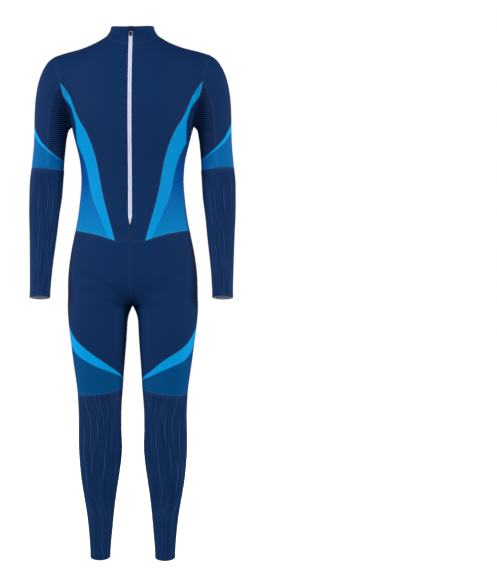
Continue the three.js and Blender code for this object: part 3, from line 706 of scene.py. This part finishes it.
# Seams, in millimetres from the panel's edge
SEAM_GROOVE = 0.7
STITCH_BAND = (1.4, 3.4)
STITCH_PITCH = 3.0
STITCH_SHARE = 0.62  # how much of the pitch one stitch covers
SEAM_DARKNESS = 0.38
SEAM_DEPTH = 2.0
STITCH_SHOWN = 0.05
STITCH_HEIGHT = 1.4


def seam_masks(tree, place):
    """The dark line of a seam, and the stitches laid beside it."""
    seam = attribute(tree, "seam_mm")
    groove = step_down(tree, maths(tree, "SUBTRACT", seam, SEAM_GROOVE), 0.8)
    inner = step_up(tree, maths(tree, "SUBTRACT", seam, STITCH_BAND[0]), 0.5)
    outer = step_up(tree, maths(tree, "SUBTRACT", STITCH_BAND[1], seam), 0.5)
    band = maths(tree, "MULTIPLY", inner, outer)
    parts = add(tree, "ShaderNodeSeparateXYZ", [(0, place)])
    sideways = maths(tree, "MULTIPLY", parts.outputs["X"], 0.8)
    along = maths(tree, "ADD", parts.outputs["Z"], sideways)
    beat = maths(tree, "FRACT", maths(tree, "DIVIDE", along, STITCH_PITCH))
    stitch = step_up(tree, maths(tree, "SUBTRACT", STITCH_SHARE, beat), 0.2)
    return groove, maths(tree, "MULTIPLY", band, stitch)


COLOUR_DRIFT = 0.06  # how much the dyed colour varies over a hand's width
DRIFT_SCALE = 0.011  # one change in about 90 mm
CLOTH_ROUGHNESS = 0.62
CLOTH_RELIEF = 0.12
CLOTH_SPECULAR = 0.03
CLOTH_SHEEN = 0.015
SHEEN_ROUGHNESS = 0.4
RELIEF_DEPTH = 0.6


def finish_cloth(
    tree, shader, place, colour, height, roughness=CLOTH_ROUGHNESS, relief=CLOTH_RELIEF
):
    """Adds the seams to a cloth's colour and relief, and sets the knit's soft sheen."""
    groove, stitch = seam_masks(tree, place)
    drift = maths(tree, "MULTIPLY", noise(tree, place, DRIFT_SCALE, 1.0), COLOUR_DRIFT)
    light = maths(tree, "ADD", 1 - COLOUR_DRIFT / 2, drift)
    tinted = add(
        tree,
        "ShaderNodeMix",
        data_type="RGBA",
        blend_type="MULTIPLY",
        in_0=1.0,
    )
    tree.links.new(colour, tinted.inputs[6])
    tree.links.new(light, tinted.inputs[7])
    darkness = maths(tree, "MULTIPLY", groove, SEAM_DARKNESS)
    dark = blend_colour(tree, darkness, tinted.outputs[2], SEAM_NAVY)
    sewn = add(
        tree,
        "ShaderNodeMix",
        data_type="RGBA",
        blend_type="ADD",
    )
    tree.links.new(maths(tree, "MULTIPLY", stitch, STITCH_SHOWN), sewn.inputs["Factor"])
    tree.links.new(dark, sewn.inputs[6])
    sewn.inputs[7].default_value = linear(STITCH_LILAC)
    set_surface(tree, shader, sewn.outputs[2], roughness)
    shader.inputs["Specular IOR Level"].default_value = CLOTH_SPECULAR
    shader.inputs["Sheen Weight"].default_value = CLOTH_SHEEN
    shader.inputs["Sheen Roughness"].default_value = SHEEN_ROUGHNESS
    shader.inputs["Sheen Tint"].default_value = linear(SWEEP_BLUE)
    raised = maths(tree, "ADD", height, maths(tree, "MULTIPLY", stitch, STITCH_HEIGHT))
    lowered = maths(tree, "SUBTRACT", raised, maths(tree, "MULTIPLY", groove, SEAM_DEPTH))
    set_relief(tree, shader, lowered, relief, RELIEF_DEPTH)


def navy_knit():
    """Warp-knitted polyester and elastane, dyed navy: matt, with a faint sheen."""
    material, tree, shader = new_material("navy_stretch_knit")
    place = object_place(tree)
    finish_cloth(tree, shader, place, cloth_colour(tree, place), knit_height(tree, place))
    return material


HOLE_PITCH = 3.4
HOLE_RADIUS = 0.9


def dot_grid(tree, across, along, pitch, radius, soft):
    """Round dots in staggered rows; both places are counted in pitches."""
    shift = maths(tree, "MULTIPLY", maths(tree, "MODULO", maths(tree, "FLOOR", along), 2.0), 0.5)
    column_place = maths(tree, "FRACT", maths(tree, "ADD", across, shift))
    row_place = maths(tree, "FRACT", along)
    u = maths(tree, "MULTIPLY", maths(tree, "SUBTRACT", column_place, 0.5), pitch[0])
    v = maths(tree, "MULTIPLY", maths(tree, "SUBTRACT", row_place, 0.5), pitch[1])
    square = maths(tree, "ADD", maths(tree, "MULTIPLY", u, u), maths(tree, "MULTIPLY", v, v))
    return step_up(tree, maths(tree, "SUBTRACT", radius, maths(tree, "SQRT", square)), soft)


def back_mesh():
    """Open warp knit, a little darker than the cloth round it, with fine staggered holes coloured
    darker still in painted shade.
    """
    material, tree, shader = new_material("fine_mesh_knit")
    place = object_place(tree)
    parts = add(tree, "ShaderNodeSeparateXYZ", [(0, place)])
    across = maths(tree, "DIVIDE", parts.outputs["X"], HOLE_PITCH)
    along = maths(tree, "DIVIDE", parts.outputs["Z"], HOLE_PITCH)
    holes = dot_grid(tree, across, along, (HOLE_PITCH, HOLE_PITCH), HOLE_RADIUS, 0.5)
    # painted shade: the holes are coloured darker for the shaded hollow seen through them
    colour = blend_colour(tree, holes, MESH_NAVY, MESH_HOLE_PAINTED_SHADE)
    height = maths(tree, "SUBTRACT", knit_height(tree, place), maths(tree, "MULTIPLY", holes, 2.0))
    finish_cloth(tree, shader, place, colour, height, roughness=0.72, relief=0.3)
    return material


PRINT_EDGE = 1.0  # how soft a printed colour's edge is, in millimetres


def limb_print(tree, cloth, block_colour):
    """A limb's bright sweep and the block below it over its cloth, and where they start."""
    top = attribute(tree, "above_sweep")
    bottom = attribute(tree, "above_block")
    block = step_down(tree, bottom, PRINT_EDGE)
    below_top = step_down(tree, top, PRINT_EDGE)
    sweep = maths(tree, "SUBTRACT", below_top, block, clamp=True)
    with_block = blend_colour(tree, block, cloth, block_colour)
    return blend_colour(tree, sweep, with_block, SWEEP_BLUE), below_top


def sleeve_knit():
    """The navy knit with the sleeve's printed sweep and block."""
    material, tree, shader = new_material("printed_sleeve_knit")
    place = object_place(tree)
    colour, _ = limb_print(tree, cloth_colour(tree, place), SLEEVE_BLUE)
    finish_cloth(tree, shader, place, colour, knit_height(tree, place))
    return material


UNDERARM_PITCH = (7.0, 5.4)  # between two dots, round the arm and along it
DOTS_ROUND = 44
DOT_RADIUS = 1.0
DOT_SHOWN = 0.6


def underarm_mesh():
    """Coarser mesh under the arm; its light dots stop where the printed sweep starts."""
    material, tree, shader = new_material("underarm_mesh_knit")
    place = object_place(tree)
    z = add(tree, "ShaderNodeSeparateXYZ", [(0, place)]).outputs["Z"]
    along = maths(tree, "DIVIDE", z, UNDERARM_PITCH[1])
    dots = dot_grid(tree, attribute(tree, "dot_lane"), along, UNDERARM_PITCH, DOT_RADIUS, 0.9)
    cloth = cloth_colour(tree, place, UNDERARM_NAVY, NAVY)
    printed, below_top = limb_print(tree, cloth, SLEEVE_BLUE)
    clear = maths(tree, "MULTIPLY", attribute(tree, "dots_shown"), DOT_SHOWN)
    shown = maths(tree, "MULTIPLY", dots, maths(tree, "SUBTRACT", 1.0, below_top))
    colour = blend_colour(tree, maths(tree, "MULTIPLY", shown, clear), printed, MESH_DOT)
    height = maths(tree, "SUBTRACT", knit_height(tree, place), shown)
    finish_cloth(tree, shader, place, colour, height, roughness=0.7, relief=0.25)
    return material


def thigh_knit():
    """The navy knit of the upper legs with the thigh's printed sweep and darker block."""
    material, tree, shader = new_material("printed_thigh_knit")
    place = object_place(tree)
    colour, _ = limb_print(tree, cloth_colour(tree, place), THIGH_BLUE)
    finish_cloth(tree, shader, place, colour, knit_height(tree, place))
    return material


# The side panels' fade: its heights, and colours on the way down
FADE_TOP = -270
FADE_BOTTOM = -560
FADE_STOPS = ((0.44, FADE_HIGH), (0.66, FADE_MID))


def side_knit():
    """The printed side panel: bright sweeps along its seams, and a navy to blue fade."""
    material, tree, shader = new_material("printed_side_knit")
    place = object_place(tree)
    z = add(tree, "ShaderNodeSeparateXYZ", [(0, place)]).outputs["Z"]
    down = add(
        tree,
        "ShaderNodeMapRange",
        [(0, z)],
        in_1=FADE_TOP,
        in_2=FADE_BOTTOM,
        clamp=True,
    ).outputs[0]
    fade = add(tree, "ShaderNodeValToRGB", [(0, down)])
    ramp = fade.color_ramp
    ramp.elements[0].color = linear(NAVY)
    ramp.elements[1].color = linear(FADE_LOW)
    for place_down, shade in FADE_STOPS:
        ramp.elements.new(place_down).color = linear(shade)
    bright = blend_colour(tree, down, SIDE_SWEEP, SIDE_SWEEP_LOW)
    front = step_up(tree, attribute(tree, "in_front_sweep"), PRINT_EDGE)
    back = step_up(tree, attribute(tree, "in_back_sweep"), PRINT_EDGE)
    sweep = maths(tree, "MAXIMUM", front, back)
    colour = blend_colour(tree, sweep, fade.outputs["Color"], bright)
    finish_cloth(tree, shader, place, colour, knit_height(tree, place))
    return material


LINE_WIDTH = 0.12  # half a light line's width, as a share of the way to the next
LINE_EDGE = 0.14
LINE_SEED = 3.7  # sets each line's fading apart from the next one's
LINE_FADING = 0.008  # one fading and return in about 125 mm
LINE_RARITY = 0.68
LINE_FADE_EDGE = 0.22
LINE_SHARE_WEIGHT = 0.3
LINE_SHOWN = 0.62
LINE_HEIGHT = 1.5
# how much lighter the ribs' crests are painted: a painted highlight
RIB_HIGHLIGHT_SHOWN = 0.12
RIB_HEIGHT = 0.9
BAND_TINT = 0.07
STREAK_SCALE = (0.12, 0.12, 0.004)  # faint streaks, 8 mm wide and 250 mm long


def light_lines(tree, place):
    """Fine light lines that run down the limb, fade out and start again."""
    z = add(tree, "ShaderNodeSeparateXYZ", [(0, place)]).outputs["Z"]
    lane = attribute(tree, "lane")
    offset = maths(tree, "ABSOLUTE", maths(tree, "SUBTRACT", maths(tree, "FRACT", lane), 0.5))
    line = step_up(tree, maths(tree, "SUBTRACT", LINE_WIDTH, offset), LINE_EDGE)
    number = maths(tree, "MULTIPLY", maths(tree, "FLOOR", lane), LINE_SEED)
    along = add(
        tree,
        "ShaderNodeCombineXYZ",
        [(0, number), (2, maths(tree, "MULTIPLY", z, LINE_FADING))],
    ).outputs[0]
    share = maths(tree, "MULTIPLY", attribute(tree, "line_share"), LINE_SHARE_WEIGHT)
    shown = maths(tree, "ADD", noise(tree, along, 1.0, 1.0), share)
    level = maths(tree, "SUBTRACT", shown, LINE_RARITY)
    return maths(tree, "MULTIPLY", line, step_up(tree, level, LINE_FADE_EDGE))


def ribbed_knit():
    """Knit with raised vertical ribs that run down the limb, their crests lighter in a painted
    highlight, and fine light lines.
    """
    material, tree, shader = new_material("ribbed_race_knit")
    place = object_place(tree)
    rib = maths(tree, "SINE", maths(tree, "MULTIPLY", attribute(tree, "rib"), 2 * math.pi))
    stretch = add(tree, "ShaderNodeMapping", [(0, place)], in_Scale=STREAK_SCALE)
    streak = noise(tree, stretch.outputs[0], 1.0)
    mark = light_lines(tree, place)
    in_band = maths(tree, "SUBTRACT", BAND_HEIGHT, attribute(tree, "below_elbow"))
    band = step_up(tree, in_band, PRINT_EDGE)
    base = blend_colour(tree, streak, RIB_SHADE, RIB_NAVY)
    # painted highlight: each rib's crest is coloured lighter, as if lit
    rib_painted_highlight = maths(tree, "MULTIPLY", maths(tree, "ADD", rib, 1.0), RIB_HIGHLIGHT_SHOWN)
    shaded = blend_colour(tree, rib_painted_highlight, base, RIB_PAINTED_HIGHLIGHT)
    lined = blend_colour(tree, maths(tree, "MULTIPLY", mark, LINE_SHOWN), shaded, RIB_LINE)
    colour = blend_colour(tree, maths(tree, "MULTIPLY", band, BAND_TINT), lined, RIB_LINE)
    rib_height = maths(tree, "MULTIPLY", rib, RIB_HEIGHT)
    height = maths(tree, "ADD", knit_height(tree, place), rib_height)
    raised = maths(tree, "ADD", height, maths(tree, "MULTIPLY", mark, LINE_HEIGHT))
    finish_cloth(tree, shader, place, colour, raised, roughness=0.68, relief=0.22)
    return material


def inside_knit():
    """The unprinted back of the cloth, seen in the cuffs: pale lilac grey."""
    material, tree, shader = new_material("unprinted_cloth_back")
    place = object_place(tree)
    colour = blend_colour(tree, noise(tree, place, 0.7), INSIDE_SHADE, INSIDE_LIT)
    set_surface(tree, shader, colour, roughness=0.8)
    shader.inputs["IOR"].default_value = 1.46
    set_relief(tree, shader, knit_height(tree, place), strength=0.15, depth=0.5)
    return material


def woven_tape():
    """Woven polyester zip tape, pale lilac, with a fine twill."""
    material, tree, shader = new_material("woven_zip_tape")
    place = object_place(tree)
    twill = add(
        tree,
        "ShaderNodeTexWave",
        [("Vector", place)],
        bands_direction="DIAGONAL",
        in_Scale=0.5,
    ).outputs["Fac"]
    set_surface(tree, shader, blend_colour(tree, twill, TAPE_SHADE, TAPE_LIT), roughness=0.55)
    set_relief(tree, shader, twill, strength=0.2, depth=0.3)
    return material


def coil_plastic():
    """Wound nylon coil, satin, a shade darker than its tape."""
    material, tree, shader = new_material("nylon_zip_coil")
    place = object_place(tree)
    colour = blend_colour(tree, noise(tree, place, 0.4), COIL_SHADE, COIL_LIT)
    set_surface(tree, shader, colour, roughness=0.38)
    return material


def trim_weave():
    """Close-woven dark trim of the zip garage."""
    material, tree, shader = new_material("dark_trim_weave")
    place = object_place(tree)
    weave = noise(tree, place, 1.4)
    set_surface(tree, shader, blend_colour(tree, weave, TRIM_SHADE, TRIM_LIT), roughness=0.75)
    shader.inputs["Specular IOR Level"].default_value = 0.1
    set_relief(tree, shader, weave, strength=0.3, depth=0.3)
    return material


def painted_slider():
    """Die-cast zinc with a dark baked enamel, worn brighter in patches."""
    material, tree, shader = new_material("enamelled_zinc")
    place = object_place(tree)
    wear = noise(tree, place, 0.8, 3.0)
    colour = blend_colour(tree, wear, SLIDER_INK, SLIDER_WORN)
    tree.links.new(colour, shader.inputs["Base Color"])
    rough = add(
        tree,
        "ShaderNodeMapRange",
        [(0, wear)],
        in_3=0.28,
        in_4=0.45,
    )
    tree.links.new(rough.outputs[0], shader.inputs["Roughness"])
    shader.inputs["Coat Weight"].default_value = 0.4
    return material


INSIDE = inside_knit()
NAVY_KNIT = navy_knit()
SLEEVE_KNIT = sleeve_knit()
UNDERARM_MESH = underarm_mesh()
THIGH_KNIT = thigh_knit()
SIDE_KNIT = side_knit()
RIBBED_KNIT = ribbed_knit()
BACK_MESH = back_mesh()
ZIP_TAPE = woven_tape()
ZIP_COIL = coil_plastic()
GARAGE_TRIM = trim_weave()
SLIDER_ENAMEL = painted_slider()

# Cloth panels: the body form they lie on, their material and their slot
SIDES = ("left", "right")
PANELS = {
    "bodice_front": ("trunk", NAVY_KNIT, "navy_cloth"),
    "side_panel": ("trunk", SIDE_KNIT, "printed_blue_cloth"),
    "upper_sleeve": ("arm", SLEEVE_KNIT, "navy_cloth"),
    "underarm_mesh": ("arm", UNDERARM_MESH, "mesh_cloth"),
    "forearm_sleeve": ("arm", RIBBED_KNIT, "ribbed_cloth"),
    "upper_leg": ("leg", THIGH_KNIT, "navy_cloth"),
    "lower_leg": ("leg", RIBBED_KNIT, "ribbed_cloth"),
}
MIDDLE_PANELS = {
    "bodice_back": ("trunk", NAVY_KNIT, "navy_cloth"),
    "back_mesh_panel": ("trunk", BACK_MESH, "mesh_cloth"),
    "collar": ("collar", NAVY_KNIT, "navy_cloth"),
}
# The names of all the cloth panels: the paired ones, then the middle ones
ALL_PANELS = [f"{name}_{side}" for name in PANELS for side in SIDES] + list(MIDDLE_PANELS)
SEAM_REACH = 8.0
SEAM_GAP = 0.7  # two panels' edges nearer than this are sewn together
CORNER_REACH = 1.2
SWEEP_REACH = 90  # farther than a side panel's sweeps are wide
LOOKS_IN = -0.25  # a face turned this far from outwards is on the inside
SHARP_CUT = math.radians(45)
MEETING_REGIONS = {("arm", "trunk"), ("trunk", "arm"), ("leg", "trunk"), ("trunk", "leg")}


def nodes_by_region():
    """The names of the panels in each region."""
    found = {}
    for base, (region, _, _) in PANELS.items():
        found.setdefault(region, []).extend(f"{base}_{side}" for side in SIDES)
    for name, (region, _, _) in MIDDLE_PANELS.items():
        found.setdefault(region, []).append(name)
    return found


def hem_rise(points, base):
    """How far a turned hem stands out at each vertex."""
    if base not in HEM_DEPTH:
        return np.zeros(len(points))
    height = points[:, 2] - points[:, 2].min()
    return HEM_STEP / (1 + np.exp((height - HEM_DEPTH[base]) / HEM_EASE))


def band_rise(piece, base, side):
    """How far the turned seam below the elbow stands out at each vertex.

    The lower legs get its attribute too, because their cloth is the same material.
    """
    if base not in LINES_ROUND:
        return np.zeros(len(piece.data.vertices))
    sleeve = [f"upper_sleeve_{side}", f"underarm_mesh_{side}"]
    below = distance_to(piece, sleeve, 2 * BAND_HEIGHT)
    add_attribute(piece, "below_elbow", below)
    return BAND_STEP / (1 + np.exp((below - BAND_HEIGHT) / BAND_EASE))


def shape_cloth(piece, region, base, side):
    """Sinks the folds and lifts the hems; two panels that meet move alike at their seam."""
    points = coordinates(piece)
    away = outward_of(points, region)
    for other, nodes in nodes_by_region().items():
        if other == region or (other, region) not in MEETING_REGIONS:
            continue
        share = 0.5 * (1 - distance_to(piece, nodes, SEAM_REACH) / SEAM_REACH)[:, None]
        away = away * (1 - share) + outward_of(points, other) * share
    move = hem_rise(points, base) + band_rise(piece, base, side) - fold_depth(points)
    set_coordinates(piece, points + away * move[:, None])


def sweep_attributes(piece, turn, z, sweep, shift):
    """How far each vertex is above the two edges of its limb's printed sweep."""
    top = smooth_column(sweep, "turn", "top", turn) + shift
    bottom = smooth_column(sweep, "turn", "bottom", turn) + shift
    add_attribute(piece, "above_sweep", z - top)
    add_attribute(piece, "above_block", z - np.minimum(bottom, top))


def add_round_attribute(piece, name, values, period):
    """An attribute that starts again once round the limb, kept even within each face."""
    mesh = piece.data
    corner = np.zeros(len(mesh.loops), np.int32)
    mesh.loops.foreach_get("vertex_index", corner)
    starts = np.zeros(len(mesh.polygons), np.int32)
    counts = np.zeros(len(mesh.polygons), np.int32)
    mesh.polygons.foreach_get("loop_start", starts)
    mesh.polygons.foreach_get("loop_total", counts)
    first = np.repeat(values[corner[starts]], counts)
    own = values[corner]
    own = own - period * np.round((own - first) / period)
    layer = mesh.attributes.new(name, "FLOAT", "CORNER")
    layer.data.foreach_set("value", own.astype(np.float32))


def rib_attributes(piece, turn, z, base):
    """Ribs and light lines round the limb; in front the leg's lines slant inwards."""
    in_front = np.clip(-np.sin(np.radians(turn)), 0, 1)
    lines = LINES_ROUND[base]
    wander = LINE_DRIFT[base]
    drift = column(wander, "z", "inwards", z) / column(wander, "z", "girth", z)
    add_round_attribute(piece, "rib", turn / 360 * RIBS_ROUND, RIBS_ROUND)
    add_round_attribute(piece, "lane", (turn / 360 + in_front * drift) * lines, lines)
    front = column(wander, "z", "front", z)
    back = column(wander, "z", "back", z)
    behind = np.clip(np.sin(np.radians(turn)) * 1.5 + 0.5, 0, 1)
    add_attribute(piece, "line_share", front + (back - front) * behind)


# The underarm dots come up between these turns round the arm, and stay faint elsewhere.
DOTS_IN_FRONT = (70, 130)
DOTS_INSIDE = (145, 175)
DOTS_FAINT = 0.12


def dot_attributes(piece, turn):
    """Dots all round the underarm mesh, clear in front and faint behind."""
    add_round_attribute(piece, "dot_lane", turn / 360 * DOTS_ROUND, DOTS_ROUND)
    in_front = np.interp(-turn, DOTS_IN_FRONT, (0, 1))
    inside = np.interp(turn, DOTS_INSIDE, (0, 1))
    add_attribute(piece, "dots_shown", np.maximum(np.maximum(in_front, inside), DOTS_FAINT))


def limb_attributes(piece, points, base, side):
    in_arm = base in ("upper_sleeve", "underarm_mesh", "forearm_sleeve")
    turn = turn_of(points, ARM_LINE if in_arm else LEG_LINE)
    z = points[:, 2]
    if base in LINES_ROUND:
        rib_attributes(piece, turn, z, base)
    elif in_arm:
        sweep_attributes(piece, turn, z, SLEEVE_SWEEP, 0)
        if base == "underarm_mesh":
            dot_attributes(piece, turn)
    else:
        sweep_attributes(piece, turn, z, THIGH_SWEEP, column(THIGH_SHIFT, "turn", side, turn))


def side_attributes(piece, points, side):
    z = points[:, 2]
    front = distance_to(piece, [f"bodice_front_{side}"], SWEEP_REACH)
    back = distance_to(piece, ["bodice_back"], SWEEP_REACH)
    add_attribute(piece, "in_front_sweep", smooth_column(FRONT_SWEEP, "z", "width", z) - front)
    add_attribute(piece, "in_back_sweep", smooth_column(BACK_SWEEP, "z", "width", z) - back)


def line_inside(piece, region):
    """Gives the faces that look into the hollow the cloth's unprinted back."""
    mesh = piece.data
    centres = np.array([p.center for p in mesh.polygons]) / MM
    normals = np.array([p.normal for p in mesh.polygons])
    looks_in = np.einsum("ij,ij->i", normals, outward_of(centres, region)) < LOOKS_IN
    mesh.polygons.foreach_set("material_index", looks_in.astype(np.int32))


def cloth_shell(node):
    """A finer copy of a panel, with its cut edges kept sharp."""
    piece = copy_of_node(node, f"{node}_cloth")
    crease_sharp_edges(piece, node, SHARP_CUT)
    apply_modifier(piece, "SUBSURF", levels=2, render_levels=2, boundary_smooth="PRESERVE_CORNERS")
    return piece


def close_seams(shells):
    """Brings the facing edges of two panels together halfway."""
    before = [coordinates(piece) for piece in shells]
    owner = np.repeat(np.arange(len(shells)), [len(points) for points in before])
    spots = np.concatenate(before)
    tree = KDTree(len(spots))
    for i, spot in enumerate(spots):
        tree.insert(spot, i)
    tree.balance()
    after = spots.copy()
    for i, spot in enumerate(spots):
        facing = [found for found in tree.find_range(spot, SEAM_GAP) if owner[found[1]] != owner[i]]
        if facing:
            nearest = min(facing, key=lambda found: found[2])
            after[i] = (spot + np.array(nearest[0])) / 2
    for k, piece in enumerate(shells):
        set_coordinates(piece, after[owner == k])


def finish_panel(piece, node, base, region, material, slot):
    """Gives a closed-up shell its folds, colours and place in the model."""
    side = node.rsplit("_", 1)[-1]  # left or right, where the panel is one of a pair
    points = coordinates(piece)
    shape_cloth(piece, region, base, side)
    others = [name for name in ALL_PANELS if name != node]
    add_attribute(piece, "seam_mm", distance_to(piece, others, SEAM_REACH))
    if region in ("arm", "leg"):
        limb_attributes(piece, points, base, side)
    if base == "side_panel":
        side_attributes(piece, points, side)
    piece.data.materials.append(material)
    if base != "collar":
        piece.data.materials.append(INSIDE)
        line_inside(piece, region)
    select_only(piece)
    bpy.ops.object.shade_smooth_by_angle(angle=math.radians(40))
    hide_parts(node)
    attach(piece, "suit")


def make_panels():
    jobs = []
    for base, details in PANELS.items():
        jobs += [(f"{base}_{side}", base, *details) for side in SIDES]
    jobs += [(base, base, *details) for base, details in MIDDLE_PANELS.items()]
    shells = [cloth_shell(job[0]) for job in jobs]
    close_seams(shells)
    for piece, job in zip(shells, jobs):
        finish_panel(piece, *job)


make_panels()


# Zip


def small_piece(node, name, material, body, bevel):
    """A hard or woven trim piece: the model's node with its edges softened."""
    piece = copy_of_node(node, name)
    apply_modifier(
        piece,
        "BEVEL",
        width=bevel * MM,
        segments=2,
        limit_method="ANGLE",
        angle_limit=math.radians(35),
    )
    piece.data.materials.append(material)
    select_only(piece)
    bpy.ops.object.shade_smooth_by_angle(angle=math.radians(35))
    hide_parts(node)
    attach(piece, body)
    return piece


for side in SIDES:
    small_piece(f"zip_tape_{side}", f"zip_tape_{side}_woven", ZIP_TAPE, "suit", 0.2)
small_piece("zip_garage", "zip_garage_patch", GARAGE_TRIM, "suit", 0.3)
small_piece("zip_slider", "zip_slider_body", SLIDER_ENAMEL, "suit", 0.35)
small_piece("zip_pull", "zip_pull_tab", SLIDER_ENAMEL, "zip_pull", 0.3)

COIL_PITCH = 1.9
COIL_TOOTH = (2.9, 1.0, 1.15)
COIL_TOP = -14
COIL_BOTTOM = -500
COIL_SUNK = 0.15
TOOTH_BEVEL = 0.3
TAPE_EDGE = 0.6
ROW_REACH = 1.2


def tape_front():
    """Height and depth along the front of the zip tape's middle edge."""
    points = coordinates(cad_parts["zip_tape_left"])
    middle = points[points[:, 0] < TAPE_EDGE]
    heights = np.unique(np.round(middle[:, 2], 0))
    rows = []
    for z in heights:
        near = middle[np.abs(middle[:, 2] - z) < ROW_REACH]
        rows.append((z, near[:, 1].min()))
    return table(["z", "y"], rows)


def zip_tooth():
    """One rounded tooth of the coil, in the middle of the scene."""
    bpy.ops.object.select_all(action="DESELECT")
    bpy.ops.mesh.primitive_cube_add(size=MM)
    bpy.ops.object.mode_set(mode="EDIT")
    bpy.ops.mesh.select_all(action="SELECT")
    bpy.ops.transform.resize(value=COIL_TOOTH)
    bpy.ops.mesh.bevel(offset=TOOTH_BEVEL * MM, segments=1)
    bpy.ops.object.mode_set(mode="OBJECT")
    return bpy.context.active_object


def zip_coil():
    """The closed coil: one tooth, copied down the middle of the tape."""
    front = tape_front()
    tooth = zip_tooth()
    count = int((COIL_TOP - COIL_BOTTOM) / COIL_PITCH)
    teeth = []
    for i in range(count):
        z = COIL_TOP - i * COIL_PITCH
        y = float(column(front, "z", "y", z)) - COIL_SUNK
        copy = bpy.data.objects.new(f"zip_tooth_{i}", tooth.data.copy())
        bpy.context.scene.collection.objects.link(copy)
        copy.location = (0, y * MM, z * MM)
        teeth.append(copy)
    bpy.data.objects.remove(tooth)
    bpy.ops.object.select_all(action="DESELECT")
    for copy in teeth:
        copy.select_set(True)
    bpy.context.view_layer.objects.active = teeth[0]
    bpy.ops.object.join()
    bpy.ops.object.transform_apply(location=True, rotation=True, scale=True)
    coil = bpy.context.active_object
    coil.name = "zip_coil"
    coil.data.materials.append(ZIP_COIL)
    bpy.ops.object.shade_smooth_by_angle(angle=math.radians(40))
    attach(coil, "suit")


zip_coil()


# Studio


FLOOR_GLOW = 0.9  # lifts the floor to the white of the background
FLOOR_SIZE = 40
FLOOR_DROP = 0.006  # how far the floor lies below the hems, in metres


def stage():
    lowest = cad_bounds[0][2]
    bpy.ops.object.select_all(action="DESELECT")
    bpy.ops.mesh.primitive_plane_add(size=FLOOR_SIZE, location=(0, 0, lowest - FLOOR_DROP))
    floor = bpy.context.active_object
    floor.name = "studio_floor"
    material, _, shader = new_material("matt_studio_floor")
    shader.inputs["Base Color"].default_value = linear(FLOOR_WHITE)
    shader.inputs["Roughness"].default_value = 0.9
    shader.inputs["Specular IOR Level"].default_value = 0.1
    shader.inputs["Emission Color"].default_value = (1, 1, 1, 1)
    shader.inputs["Emission Strength"].default_value = FLOOR_GLOW
    floor.data.materials.append(material)
    floor.visible_diffuse = False
    floor.visible_glossy = False


LIGHT_SIZE = 1.8
LIT_PLACE = (0, 0, -0.7)
LIGHTS = {
    "left_light": ((-4.1, -2.1, 0.5), 205),
    "right_light": ((4.1, -2.1, 0.3), 170),
    "front_light": ((0.0, -4.8, 0.6), 45),
    "back_light": ((0.0, 4.6, 0.2), 150),
    "left_edge_light": ((-3.6, 2.2, 0.2), 28),
    "right_edge_light": ((3.6, 2.2, 0.2), 28),
}


def light(name, place, power):
    data = bpy.data.lights.new(name, "AREA")
    data.shape = "SQUARE"
    data.size = LIGHT_SIZE
    data.energy = power
    lamp = bpy.data.objects.new(name, data)
    bpy.context.scene.collection.objects.link(lamp)
    lamp.location = place
    lamp.rotation_euler = (Vector(LIT_PLACE) - Vector(place)).to_track_quat("-Z", "Y").to_euler()


# The air lights the suit softly, and is seen as a white background.
AIR_LIGHT = 0.2
AIR_SEEN = 1.0


def air():
    world = bpy.data.worlds.new("studio_air")
    bpy.context.scene.world = world
    world.use_nodes = True
    tree = world.node_tree
    seen = add(tree, "ShaderNodeLightPath").outputs["Is Camera Ray"]
    strength = add(tree, "ShaderNodeMapRange", [(0, seen)], in_3=AIR_LIGHT, in_4=AIR_SEEN)
    background = tree.nodes["Background"]
    background.inputs["Color"].default_value = (1, 1, 1, 1)
    tree.links.new(strength.outputs[0], background.inputs["Strength"])


stage()
for light_name, (light_place, light_power) in LIGHTS.items():
    light(light_name, light_place, light_power)
air()
bpy.context.scene.view_settings.view_transform = "Standard"
